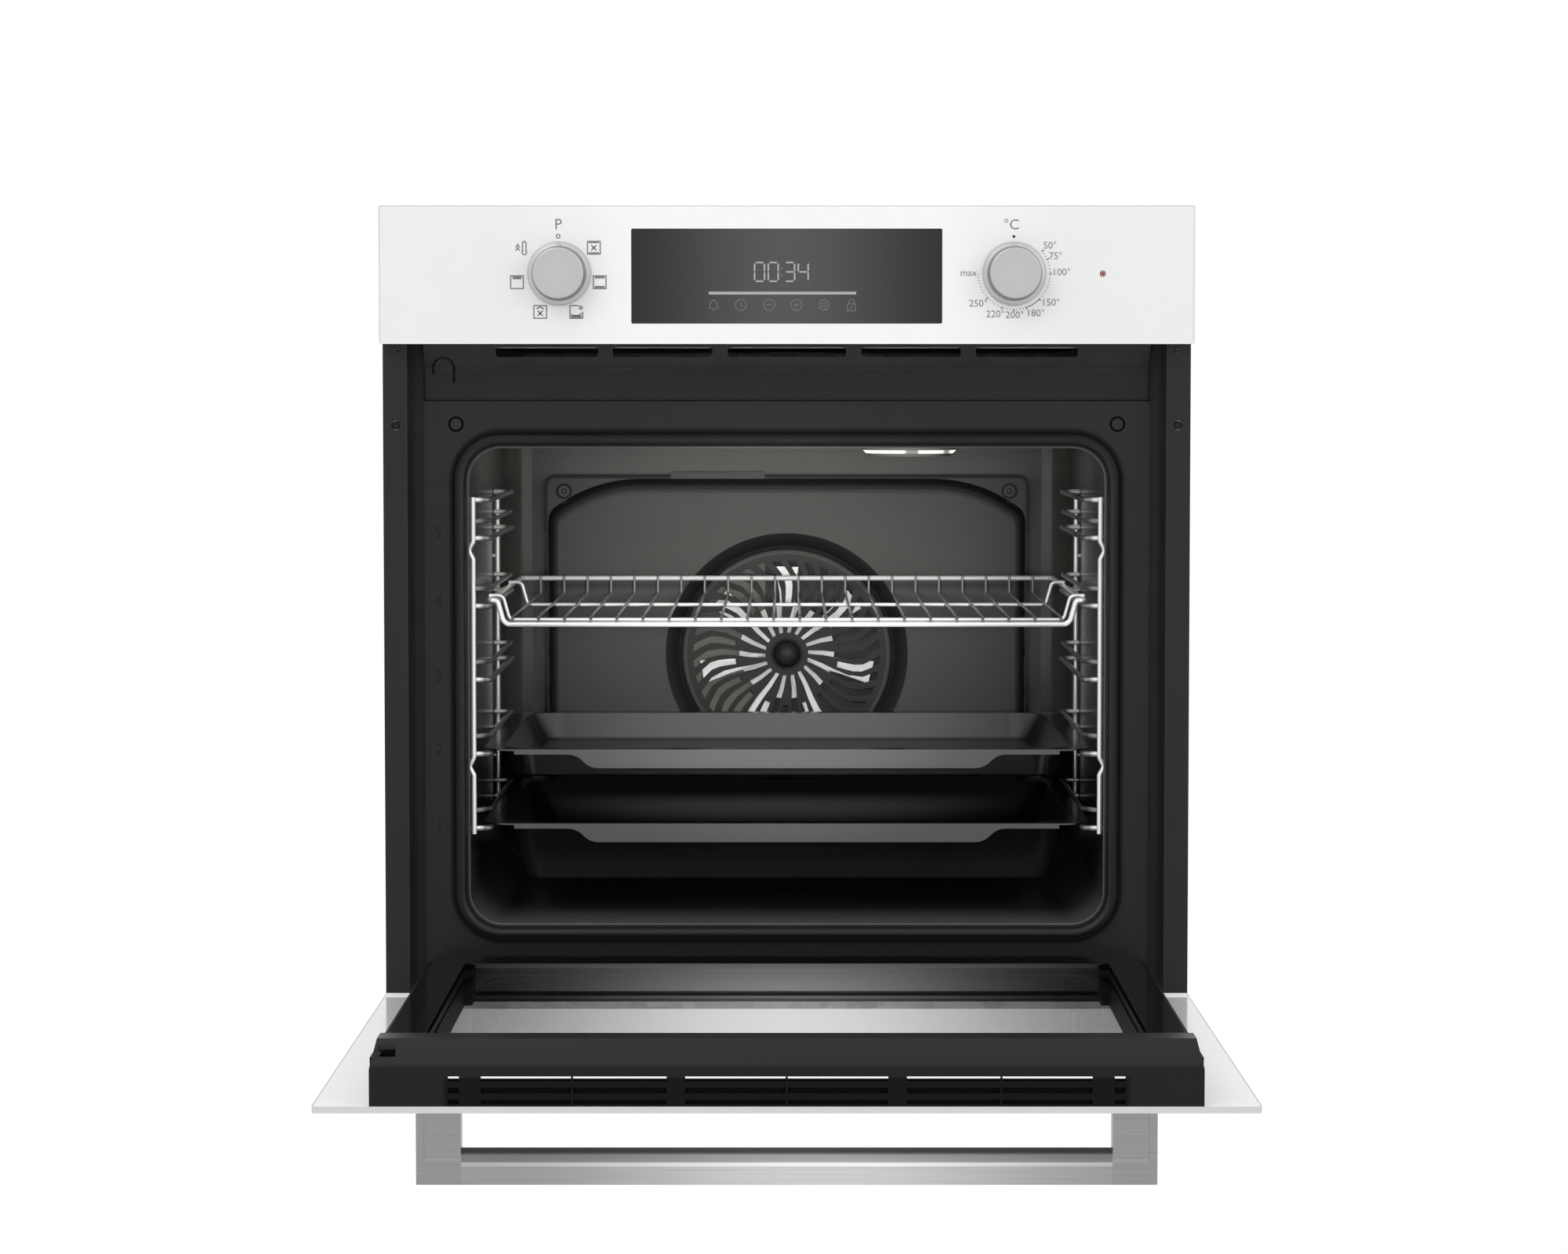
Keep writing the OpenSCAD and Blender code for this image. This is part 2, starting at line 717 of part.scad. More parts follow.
module fan_motor() color("gray") {
  plate = 2;
  front = well_back + liner_t;
  motor_l = rear_space - well_d - 34;
  difference() {
    union() {
      for (a = [45 : 90 : 315])
        translate([0, 0, fan_z]) rotate([0, a, 0])
          block([0, front, -9], [62, front + plate, 9]);
      rod_y(0, fan_z, front, front + 8, 24);
      rod_y(0, fan_z, front + 8, front + motor_l, 36);
      block([-30, front + 12, fan_z - 44], [30, front + motor_l - 10, fan_z + 44]);
    }
    rod_y(0, fan_z, front - 1, front + 32, fan_shaft_r + running_gap);
  }
}

// Impeller: a back plate with tall swept blades on a hub
module convection_fan() color("gainsboro") {
  r = impeller_d / 2;
  y0 = cavity_back - 3;
  blade_d = 24;
  y1 = y0 + blade_d;
  hub_r = 11;
  rod_y(0, fan_z, y0 + 2, y1 + 2, hub_r);
  rod_y(0, fan_z, y1, y1 + 1.5, r * 0.55);
  rod_y(0, fan_z, y1, well_back + 30, fan_shaft_r);
  for (i = [0 : impeller_blades - 1])
    translate([0, 0, fan_z]) rotate([0, -360 / impeller_blades * i - 90, 0]) {
      plate_xz(y0, y1 + 1) polygon([
        [hub_r - 2, -0.8], [r * 0.55, -1.8], [r, 1.6],
        [r, 3.2], [r * 0.55, 0.2], [hub_r - 2, 0.8]
      ]);
      // folded lip that turns each blade into a scoop
      plate_xz(y0, y0 + 1.4) polygon([
        [hub_r - 2, -0.8], [r * 0.55, -1.8], [r, 1.6], [r, 9.5], [r * 0.6, 5], [hub_r - 2, 2]
      ]);
    }
}

grill_z = cavity_top - 12;
grill_ends = [-40, 40];

// A heating rod bent flat into a loop, with two tails that leave through the back wall
module grill_element() color("dimgray") {
  front = frame_y + 40;
  back = cavity_back - 45;
  outer = 200;
  inner = 150;
  turn_y = lamp_y + 80;
  path = [
    [grill_ends[1], cavity_back + 12], [grill_ends[1], back], [outer, back],
    [outer, front], [inner, front], [inner, turn_y], [40, turn_y], [40, front]
  ];
  left = [for (i = [len(path) - 1 : -1 : 0]) [-path[i][0], path[i][1]]];
  bent_wire([for (p = concat(path, left)) [p[0], p[1], grill_z]], element_r, element_bend);
  // clips on the ceiling
  for (x = [-1, 1], p = [[outer, front + 60], [outer, back - 60]])
    block([x * p[0] - 5, p[1] - 2, grill_z], [x * p[0] + 5, p[1] + 2, cavity_top]);
}

module bottom_element() color("dimgray") {
  z = cavity_low - liner_t - element_r - 1.5;
  x0 = 170;
  y0 = frame_y + 80;
  y1 = cavity_back - 60;
  bent_wire([
    [-25, cavity_back + 10, z], [-25, y1 - 30, z], [-95, y1 - 30, z], [-95, y0 + 60, z],
    [-x0, y0 + 60, z], [-x0, y0, z], [x0, y0, z], [x0, y0 + 60, z],
    [95, y0 + 60, z], [95, y1 - 30, z], [25, y1 - 30, z], [25, cavity_back + 10, z]
  ], element_r, element_bend);
  for (x = [-95, 95], y = [y0 + 110, y1 - 60])
    block([x - 6, y - 3, z], [x + 6, y + 3, cavity_low - liner_t]);
}

// ---- lamp ----

module lamp_holder() color("white") {
  difference() {
    union() {
      translate([lamp_x, lamp_y, cavity_top + liner_t]) cylinder(r = lamp_hole_r + 4, h = 2);
      translate([lamp_x, lamp_y, cavity_top + liner_t]) cylinder(r = 17, h = 22);
    }
    translate([lamp_x, lamp_y, cavity_top]) cylinder(r = 14, h = 18);
  }
}

module lamp_bulb() color("lemonchiffon") {
  translate([lamp_x, lamp_y, cavity_top - 6]) sphere(r = 12);
  translate([lamp_x, lamp_y, cavity_top - 2]) cylinder(r = 7, h = 20);
}

module lamp_cover() color("white") translate([lamp_x, lamp_y, 0]) {
  wall = 2.5;
  drop = 25;
  low = cavity_top - drop;
  difference() {
    union() {
      translate([0, 0, low + 8]) cylinder(r = lamp_r, h = drop - 8);
      translate([0, 0, low]) cylinder(r1 = lamp_r - 8, r2 = lamp_r, h = 8);
    }
    translate([0, 0, low + wall]) cylinder(r = lamp_r - 10, h = drop);
  }
}

// ---- side racks ----

module shelf_ladder() color("whitesmoke") {
  low = rail_z[0] - 4;
  high = rail_z[4] + 28.5;
  kink = 3.6;
  foot_r = rail_r * 0.8;
  // front post, with hooks that reach into the wall's pockets
  bent_wire([
    [post_x, post_front, low],
    for (z = hook_z) each [
      [post_x, post_front, z - 6.5], [post_x + kink, post_front, z],
      [post_x, post_front, z + 6.5]
    ],
    [post_x, post_front, high + 2]
  ], rail_r, rail_r + 2);
  wire([post_x, post_rear, low], [post_x, post_rear, high + 2], rail_r);
  // feet of the rear post on the wall
  for (z = hook_z) wire([post_x, post_rear, z - 14], [wall_x, post_rear, z - 14], foot_r);
  for (z = [each rail_z, high]) rail(z);
  for (z = rail_z) guard_wire(z + guard_rise);
}

// A rail: in beside the front post, back along the wall and out beside the rear post
module rail(z) {
  front = post_front + 2 * rail_r - weld_sink;
  back = post_rear - 2 * rail_r + weld_sink;
  bent_wire([
    [wall_x - 0.6, front, z], [rail_x, front, z], [rail_x, back, z], [wall_x - 0.6, back, z]
  ], rail_r, rail_r + 2.5);
}

// The wire over a rail that keeps a shelf from tipping: from the front post in over the
// rail, back along it and out to the wall
module guard_wire(z) {
  guard_r = rail_r * 0.85;
  back = post_rear - rail_r - guard_r + weld_sink;
  bent_wire([
    [post_x, post_front + rail_r * 0.4, z], [post_x, post_front + 10, z],
    [rail_x + 1, post_front + 26, z], [rail_x + 1, back, z], [wall_x - 0.6, back, z]
  ], guard_r, rail_r + 2);
}

module left_shelf_ladder() mirror([1, 0, 0]) shelf_ladder();

module right_shelf_ladder() shelf_ladder();

// ---- cooling ----

module air_duct() color("silver") {
  x = 222;
  front = band_y + frame_t;
  back = blower_y + blower_r;
  difference() {
    block([-x, front, duct_low], [x, back, duct_high]);
    block([-x + 1, front - 1, duct_low + 1], [x - 1, back - 1, duct_high - 1]);
    translate([0, blower_y, duct_high - 2]) cylinder(r = wheel_r - 4, h = 4);
  }
}

module blower_housing() color("silver") {
  wall = 1.5;
  translate([0, blower_y, 0]) {
    difference() {
      translate([0, 0, duct_high]) cylinder(r = blower_r, h = blower_h);
      translate([0, 0, duct_high + wall]) cylinder(r = blower_r - wall, h = blower_h - 2 * wall);
      translate([0, 0, duct_high - 1]) cylinder(r = wheel_r - 4, h = 4);
      translate([0, 0, blower_top - 3]) cylinder(r = wheel_r - 10, h = 5);
    }
    // three arms that carry the motor
    for (a = [0 : 120 : 240]) rotate([0, 0, a])
      block([motor_r - 6, -5, blower_top], [wheel_r, 5, blower_top + 2]);
  }
}

module blower_motor() color("gray") translate([0, blower_y, 0]) {
  difference() {
    union() {
      translate([0, 0, blower_top - 8]) cylinder(r = motor_r - 6, h = 8);
      translate([0, 0, blower_top + 2]) cylinder(r = motor_r, h = 26);
      translate([0, 0, blower_top - 1]) cylinder(r = motor_r - 6, h = 4);
    }
    translate([0, 0, blower_top - 9]) cylinder(r = 3 + running_gap, h = 22);
  }
}

module blower_wheel() color("lightgray") translate([0, blower_y, 0]) {
  low = duct_high + 5;
  high = blower_top - 5;
  blades = 24;
  difference() {
    translate([0, 0, high - 1.5]) cylinder(r = wheel_r, h = 1.5);
    translate([0, 0, high - 3]) cylinder(r = wheel_r - 14, h = 5);
  }
  difference() {
    translate([0, 0, low]) cylinder(r = wheel_r, h = 1.5);
    translate([0, 0, low - 1]) cylinder(r = wheel_r - 14, h = 4);
  }
  translate([0, 0, low + 10]) cylinder(r = wheel_r - 12, h = 2);
  translate([0, 0, low + 10]) cylinder(r = 3, h = blower_top + 8 - low - 10);
  for (i = [0 : blades - 1])
    rotate([0, 0, 360 / blades * i]) translate([wheel_r - 13, 0, low])
      rotate([0, 0, 25]) translate([0, -0.75, 0]) cube([11, 1.5, high - low]);
}

// ---- control panel ----

module control_panel() color("white") {
  mid_z = (panel_z + panel_top) / 2;
  wall = 1.5;
  difference() {
    translate([0, 0, mid_z]) plate_xz(front_y, flange_y) rounded_rect(front_w, panel_h, 1.5);
    translate([0, 0, mid_z]) plate_xz(front_y + panel_t, flange_y + 1)
      rounded_rect(front_w - 2 * wall, panel_h - 2 * wall, 1);
    translate([0, 0, window_z]) plate_xz(front_y - 1, front_y + panel_t + 1)
      rounded_rect(window_w, window_h, 1.2);
    both_sides() rod_y(knob_x, knob_z, front_y - 1, front_y + panel_t + 1, knob_shaft_r + 2);
    rod_y(indicator_x, knob_z, front_y - 1, front_y + panel_t + 1, indicator_r);
  }
}

module panel_bracket() color("#333333") {
  low = panel_z + 2.5;
  high = panel_top - 12;
  x = flange_x - 6.4;
  difference() {
    union() {
      block([-x, bracket_y, low], [x, flange_y, high]);
      block([-x, front_y + panel_t, low], [x, flange_y, low + bracket_t]);
      block([-x, front_y + panel_t, high - bracket_t], [x, flange_y, high]);
    }
    block([-timer_x, bracket_y - 1, window_z - timer_h / 2],
          [timer_x, flange_y + 1, window_z + timer_h / 2]);
    both_sides() rod_y(knob_x, knob_z, bracket_y - 1, flange_y + 1, 5);
  }
}
timer_x = 60;
timer_h = 56;

module display_window() color("#404040")
  translate([0, 0, window_z]) plate_xz(front_y + 0.3, front_y + 4)
    rounded_rect(window_w, window_h, 1.2);

module timer_board() color("#2d5a34") {
  front = front_y + 4;
  wall = 1.5;
  difference() {
    block([-timer_x, front, window_z - timer_h / 2],
          [timer_x, flange_y + 8, window_z + timer_h / 2]);
    block([-timer_x + wall, front - 1, window_z - timer_h / 2 + wall],
          [timer_x - wall, flange_y + 5, window_z + timer_h / 2 - wall]);
  }
  // display tube and its legs on the board
  block([-24, front + 2, window_z - 8], [24, flange_y + 5.1, window_z + 14]);
}

module indicator_lens() color("firebrick") {
  rod_y(indicator_x, knob_z, front_y - 0.2, bracket_y, indicator_r);
}

module function_switch() color("ivory") translate([-knob_x, 0, 0]) {
  difference() {
    union() {
      block([-19, flange_y, knob_z - 19], [19, flange_y + 26, knob_z + 19]);
      rod_y(0, knob_z, bracket_y - 4, flange_y, 5);
      for (x = [-12 : 8 : 12])
        block([x - 2.5, flange_y + 25, knob_z - 15], [x + 2.5, flange_y + 34, knob_z - 14]);
    }
    rod_y(0, knob_z, bracket_y - 5, flange_y + 20, knob_shaft_r + running_gap);
  }
}

module thermostat() color("silver") translate([knob_x, 0, 0]) {
  difference() {
    union() {
      rod_y(0, knob_z, flange_y, flange_y + 22, 20);
      rod_y(0, knob_z, flange_y + 22, flange_y + 27, 14);
      rod_y(0, knob_z, bracket_y - 4, flange_y, 5);
    }
    rod_y(0, knob_z, bracket_y - 5, flange_y + 18, knob_shaft_r + running_gap);
  }
}

// Knob: a flat skirt, a slightly tapered grip and a raised pointer over the skirt
module knob(x) translate([x, 0, knob_z]) {
  lift = 0.5;
  y = front_y - lift;
  face = front_y - knob_proud;
  r = knob_d / 2;
  difference() {
    turned_y(0, 0) polygon([
      [0, y], [skirt_d / 2 - 0.5, y], [skirt_d / 2, y - 0.6], [skirt_d / 2, y - 1.8],
      [skirt_d / 2 - 0.8, y - 2.6], [r + 1.2, y - 3.2], [r, face + 1.4],
      [r - 0.5, face + 0.4], [r - 1.5, face], [0, face]
    ]);
    rod_y(0, 0, y - 12, y + 1, knob_shaft_r);
  }
  plate_xz(y - 4.2, y - 2) translate([0, skirt_d / 2 - 2]) rounded_rect(2.2, 3, 1);
}

module function_knob() color("lightgray") knob(-knob_x);

module temperature_knob() color("lightgray") knob(knob_x);

module knob_shaft(x)
  rod_y(x, knob_z, front_y - 12.5, flange_y + 15, knob_shaft_r);

module function_shaft() color("gainsboro") knob_shaft(-knob_x);

module temperature_shaft() color("gainsboro") knob_shaft(knob_x);

terminal_x = -190;
terminal_z = case_h - 50;
inlet_r = 5.5;

module terminal_block() color("ivory") {
  wall = 3;
  back = back_y - sheet_t;
  difference() {
    block([terminal_x - 32, back - 34, terminal_z - 22], [terminal_x + 32, back, terminal_z + 22]);
    block([terminal_x - 29, back - 31, terminal_z - 19],
          [terminal_x + 29, back - wall, terminal_z + 23]);
    rod_y(terminal_x, terminal_z, back - wall - 1, back + 1, inlet_r);
  }
  // rail with the screw terminals
  for (x = [-20 : 10 : 20])
    block([terminal_x + x - 4, back - 31.5, terminal_z - 19.5],
          [terminal_x + x + 4, back - 22, terminal_z - 4]);
}

// ---- hinges ----

// Bracket behind the frame that holds a hinge arm
module hinge_receiver() {
  depth = 46;
  floor_z = pivot_z - 4.6;
  difference() {
    union() {
      block([hinge_x - 11, cavity_front, pivot_z - 12], [hinge_x + 11, cavity_front + 2, pivot_z + 20]);
      block([hinge_x - 5, cavity_front, floor_z - 2], [hinge_x + 5, cavity_front + depth, pivot_z + 12]);
    }
    block([hinge_x - arm_t / 2 - cheek_gap, cavity_front - 1, floor_z],
          [hinge_x + arm_t / 2 + cheek_gap, cavity_front + depth + 1, pivot_z + 14]);
  }
  rod_x(cavity_front + 30, pivot_z + 8, hinge_x - 5, hinge_x + 5, 2);
}

module hinge_receivers() color("silver") both_sides() hinge_receiver();

// Arm hooked in the receiver, with the eye that the door turns on
module hinge_arm() {
  tail_y = cavity_front + 42;
  low = pivot_z - 4.6;
  difference() {
    union() {
      rod_x(pivot_y, pivot_z, hinge_x - arm_t / 2, hinge_x + arm_t / 2, arm_eye_r);
      plate_yz(hinge_x - arm_t / 2, hinge_x + arm_t / 2) polygon([
        [pivot_y, low], [tail_y, low], [tail_y, pivot_z + 5], [tail_y - 6, pivot_z + 5],
        [tail_y - 9, pivot_z + 2], [cavity_front, pivot_z + 3], [pivot_y, pivot_z + 4.6]
      ]);
    }
    rod_x(pivot_y, pivot_z, hinge_x - arm_t, hinge_x + arm_t, pin_r + running_gap);
  }
}

module hinge_arms() color("silver") both_sides() hinge_arm();

hinge_case_l = 150;

// Channel in the door's side profile that carries the hinge pin
module hinge_case() {
  web_y = glass_back + profile_t;
  outer = cheek_x + cheek_t;
  cheek_back = pivot_y + 10;
  for (s = [-1, 1]) {
    x0 = hinge_x + (s > 0 ? cheek_x : -outer);
    rod_x(pivot_y, pivot_z, x0, x0 + cheek_t, 6.8);
    plate_yz(x0, x0 + cheek_t) polygon([
      [pivot_y - 5, pivot_z], [pivot_y + 5, pivot_z], [cheek_back, pivot_z + 14],
      [cheek_back, pivot_z + hinge_case_l], [web_y, pivot_z + hinge_case_l],
      [web_y, pivot_z + 14]
    ]);
  }
  block([hinge_x - outer, web_y, pivot_z + 14],
        [hinge_x + outer, web_y + cheek_t, pivot_z + hinge_case_l]);
  rod_x(pivot_y, pivot_z, hinge_x - outer, hinge_x + outer, pin_r);
}

module hinge_cases() color("silver") on_open_door() both_sides() hinge_case();

// Tension spring in each hinge channel, drawn as its closed coil
module hinge_spring() {
  coils = 24;
  pitch = 3;
  outer_r = arm_t / 2;
  inner_r = outer_r - 1;
  z = pivot_z + 50;
  length = coils * pitch;
  translate([hinge_x, pivot_y, z]) rotate_extrude() polygon([
    [0, 0],
    for (i = [0 : coils - 1]) each [
      [inner_r, i * pitch + 0.1], [outer_r, i * pitch + 1],
      [outer_r, (i + 1) * pitch - 1], [inner_r, (i + 1) * pitch - 0.1]
    ],
    [0, length]
  ]);
  for (end = [z - 4, z + length + 4])
    rod_x(pivot_y, end, hinge_x - cheek_x, hinge_x + cheek_x, 1.5);
  translate([hinge_x, pivot_y, z - 4]) cylinder(r = 0.7, h = length + 8);
}

module hinge_springs() color("gray") on_open_door() both_sides() hinge_spring();

// ---- door ----

handle_mid_z = handle_top - handle_h / 2;
screw_in_x = handle_x - leg_w - (bracket_w - leg_w) / 2;

module door_outer_glass() color("white") on_open_door() {
  mid_z = (front_z + door_top) / 2;
  difference() {
    translate([0, 0, mid_z]) plate_xz(front_y, glass_back)
      rounded_rect(front_w, door_top - front_z, 2.5);
    both_sides() rod_y(screw_in_x, handle_mid_z, front_y - 1, glass_back + 1, 2.6);
  }
}

module door_middle_glass() color("lightsteelblue") on_open_door()
  block([-profile_x, middle_glass_y, door_low + 12],
        [profile_x, middle_glass_y + glass_t, profile_top - 22]);

module door_inner_glass() color("#303438") on_open_door() {
  mid_z = (door_low + 2 + profile_top) / 2;
  translate([0, 0, mid_z]) plate_xz(inner_glass_y, door_back)
    rounded_rect(2 * door_x - 8, profile_top - door_low - 2, 3);
}

// Rubber blocks in the corners that keep the panes apart
module glass_seals() color("#1d1d1d") on_open_door() both_sides()
  for (z = [door_low + 30, profile_top - 70]) {
    block([profile_x - 6, glass_back, z], [profile_x, middle_glass_y, z + 30]);
    block([profile_x - 6, middle_glass_y + glass_t, z], [profile_x, inner_glass_y, z + 30]);
  }

// Half of the louvre's openings, as lists of their inner and outer ends
louvre_parts = [[0.7, 63.4], [75.1, 133.4], [134.8, 191.1], [204.8, 211.6]];
louvre_rows = [[7, 3], [14.3, 3.6], [21.6, 3]];

module door_top_trim() color("#262626") on_open_door() {
  wall = 2;
  ridge_y = door_back + ridge_rise;
  top_y = door_back - 6;
  x_top = door_x - 2;
  // end faces lean in towards the ridge
  difference() {
    plate_yz(-x_top, x_top) difference() {
      polygon([
        [glass_back, profile_top], [glass_back, door_top], [top_y, door_top],
        [ridge_y, ridge_top], [ridge_y, ridge_top - ridge_w], [door_back, ridge_top - ridge_w],
        [door_back, profile_top]
      ]);
      polygon([
        [glass_back + wall, profile_top - 1], [glass_back + wall, door_top - wall],
        [top_y - 1, door_top - wall], [ridge_y - wall, ridge_top - 1],
        [ridge_y - wall, ridge_top - ridge_w + wall], [door_back + 0.2, ridge_top - ridge_w + wall],
        [door_back + 0.2, profile_top + wall], [inner_glass_y - 2, profile_top + wall],
        [inner_glass_y - 2, profile_top - 1]
      ]);
    }
    both_sides() translate([x_top, 0, ridge_top - ridge_w - 1])
      linear_extrude(60) polygon([
        [0.1, door_back - 8], [0.1, ridge_y + 1], [-4, ridge_y + 1]
      ]);
    for (row = louvre_rows, part = louvre_parts, side = [-1, 1])
      block([side > 0 ? part[0] : -part[1], front_y + row[0] - row[1] / 2, door_top - wall - 1],
            [side > 0 ? part[1] : -part[0], front_y + row[0] + row[1] / 2, door_top + 1]);
    // notch that meets the catch
    block([-x_top + 5, top_y + 4, ridge_top + 3], [-x_top + 16, ridge_y + 1, ridge_top + 9]);
    // room for the heads of the handle's screws
    both_sides() rod_y(screw_in_x, handle_mid_z, glass_back - 1, glass_back + 4, 5.5);
  }
  // end caps
  both_sides() plate_yz(x_top - wall - 4, x_top - 4) polygon([
    [glass_back + 1, profile_top + 0.5], [glass_back + 1, door_top - 1], [top_y - 1, door_top - 1],
    [door_back, ridge_top + 4], [door_back, profile_top + 0.5]
  ]);
}

module door_profile() {
  difference() {
    block([profile_x, glass_back, door_low], [door_x, inner_glass_y, profile_top]);
    block([profile_x + profile_t, glass_back + profile_t, door_low - 1],
          [door_x - profile_t, inner_glass_y - profile_t, profile_top + 1]);
  }
}

module left_door_profile() color("#161616") on_open_door() mirror([1, 0, 0]) door_profile();

module right_door_profile() color("#161616") on_open_door() door_profile();

module door_bottom_rail() color("#161616") on_open_door() {
  high = door_low + 12;
  wall = 1.5;
  difference() {
    block([-profile_x, glass_back, door_low], [profile_x, inner_glass_y, high]);
    block([-profile_x - 1, glass_back + wall, door_low + wall],
          [profile_x + 1, inner_glass_y - wall, high + 1]);
    for (x = [-195 : 30 : 195])
      translate([x, (glass_back + inner_glass_y) / 2 - 2, door_low - 1])
        linear_extrude(4) rounded_rect(22, 7, 3.4);
  }
}

// ---- handle ----

// Bar section: flat front and top, with the inner face slanting back to the door
module handle_section() {
  slant = 7;
  polygon([
    [handle_y, handle_top - 1.2], [handle_y + 1.2, handle_top],
    [handle_y + bar_d, handle_top], [handle_y + bar_d + slant - 2, handle_top - 1.5],
    [handle_y + bar_d + slant, handle_top - handle_h + 2],
    [handle_y + bar_d + slant - 2, handle_top - handle_h],
    [handle_y + 1.2, handle_top - handle_h], [handle_y, handle_top - handle_h + 1.2]
  ]);
}

module handle_bar() color("silver") on_open_door() {
  plate_yz(-handle_x, handle_x) handle_section();
  both_sides()
    block([handle_x - leg_w, handle_y + bar_d - 1, handle_top - handle_h],
          [handle_x, front_y, handle_top]);
}

module handle_bracket() {
  seat = handle_y + bar_d;
  difference() {
    block([handle_x - bracket_w, seat, handle_top - handle_h + 0.6],
          [handle_x - leg_w, front_y, handle_top - 0.6]);
    plate_yz(0, handle_x) handle_section();
    rod_y(screw_in_x, handle_mid_z, front_y - 16, front_y + 1, 2.5);
  }
}

module left_handle_bracket() color("silver") on_open_door() mirror([1, 0, 0]) handle_bracket();

module right_handle_bracket() color("silver") on_open_door() handle_bracket();

module handle_screws() color("gray") on_open_door() both_sides() {
  rod_y(screw_in_x, handle_mid_z, front_y - 16, glass_back, 2.5);
  rod_y(screw_in_x, handle_mid_z, glass_back, glass_back + 3, 5);
}

// ---- shelves ----

// A basin's space round the origin: leaning walls round a floor, with conical corners; wall
// lists pairs of inset and height from the floor up, and r is the corners' radius at inset 0
module basin(hx, hy, r, wall) {
  low = wall[0][1];
  high = wall[len(wall) - 1][1];
  module section(h) polygon([
    for (p = wall) [h - p[0], p[1]],
    for (i = [len(wall) - 1 : -1 : 0]) [wall[i][0] - h, wall[i][1]]
  ]);
  plate_xz(r - hy, hy - r) section(hx);
  plate_yz(r - hx, hx - r) section(hy);
  for (a = [0 : 90 : 270])
    translate([(a == 0 || a == 270 ? 1 : -1) * (hx - r), (a < 180 ? 1 : -1) * (hy - r), 0])
      rotate([0, 0, a]) rotate_extrude(angle = 90) polygon([
        [0, low], for (p = wall) [r - p[0], p[1]], [0, high]
      ]);
}

// A drawn sheet tray: basin with leaning walls, flat rim on the rails, and a front apron
// whose ends run up to the rim in two arcs
module tray(level, depth) {
  z = rail_z[level] + rail_r + slide_gap;
  top = z + tray_t;
  floor_z = top - depth;
  lean = 0.42;
  foot = 5;
  rim_corner = 23;
  lip_low = top - 3.7;
  apron_low = lip_low - 10.2;
  apron_x = [140.6, 163.6];
  swing = 2 * atan((lip_low - apron_low) / (apron_x[1] - apron_x[0]));
  swing_r = (apron_x[1] - apron_x[0]) / (2 * sin(swing));
  mid_y = (tray_front + tray_back) / 2;
  apron = [
    [tray_x - rim_corner - 1, top - 0.5], [tray_x - rim_corner - 1, lip_low],
    each arc([apron_x[1], lip_low - swing_r], swing_r, 90, 90 + swing, 5),
    each arc([apron_x[0], apron_low + swing_r], swing_r, 270 + swing, 270, 5)
  ];
  wall = function(g, low, high) [
    [lean * (depth - foot) + foot, low], [lean * (depth - foot) + foot * 0.3, low + foot * 0.3],
    [lean * (depth - foot), low + foot], [0, high]
  ];
  difference() {
    union() {
      translate([0, mid_y, z]) linear_extrude(tray_t)
        rounded_rect(2 * tray_x, tray_l, rim_corner);
      translate([0, mid_y, 0])
        basin(tray_x - rim_w, tray_l / 2 - rim_w, 30, wall(0, floor_z, z + tray_t / 2));
      plate_xz(tray_front, tray_front + tray_t) polygon([
        each apron, for (i = [len(apron) - 1 : -1 : 0]) [-apron[i][0], apron[i][1]]
      ]);
    }
    translate([0, mid_y, tray_t])
      basin(tray_x - rim_w - tray_t, tray_l / 2 - rim_w - tray_t, 30 - tray_t,
            wall(0, floor_z, z + tray_t / 2));
  }
}

module baking_tray() color("#202020") tray(1, baking_depth);

module deep_tray() color("#202020") tray(0, deep_depth);

// Frame wire, flat in front and up to the runners on the rails; two cross wires of the same
// shape on top of it; and thin bars over them, turned up at the back as a stop
module wire_rack() color("whitesmoke") {
  z = rail_z[rack_level] + sqrt(pow(rail_r + rack_r + slide_gap, 2) - pow(runner_x - rail_x, 2));
  sink = 18;
  flat_x = 210.5;
  step_x = flat_x + 5;
  front = tray_front + rack_r;
  back = tray_back - rack_r;
  cross_up = rack_r + cross_r - weld_sink;
  cross_in = 3.6;
  cross_y = [front + 6.5, back - 140];
  flat_z = z - sink;
  bar_z = flat_z + cross_up + cross_r + bar_r - weld_sink;
  half = [
    [flat_x, front, flat_z], [step_x, front, z], [runner_x, front, z], [runner_x, back, z]
  ];
  bent_wire([
    for (i = [len(half) - 1 : -1 : 0]) [-half[i][0], half[i][1], half[i][2]],
    each half
  ], rack_r, [6, 3.4, 3.2, 6.5, 6.5, 3.2, 3.4, 6], true);
  for (y = cross_y) translate([0, y, cross_up]) bent_wire([
    [-runner_x - 0.6, 0, z], [cross_in - step_x, 0, z], [cross_in - flat_x, 0, flat_z],
    [flat_x - cross_in, 0, flat_z], [step_x - cross_in, 0, z], [runner_x + 0.6, 0, z]
  ], cross_r, 4.5);
  for (i = [0 : rack_bars - 1], side = [-1, 1]) {
    x = side * bar_pitch * (i + 0.5);
    bent_wire([
      [x, front - 0.4, flat_z + rack_r + bar_r - weld_sink], [x, cross_y[0] - 1, bar_z],
      [x, back - rack_r - bar_r + weld_sink, bar_z], [x, back - rack_r - bar_r + weld_sink, z + 2]
    ], bar_r, 2.2);
  }
}

// ---- assembly ----

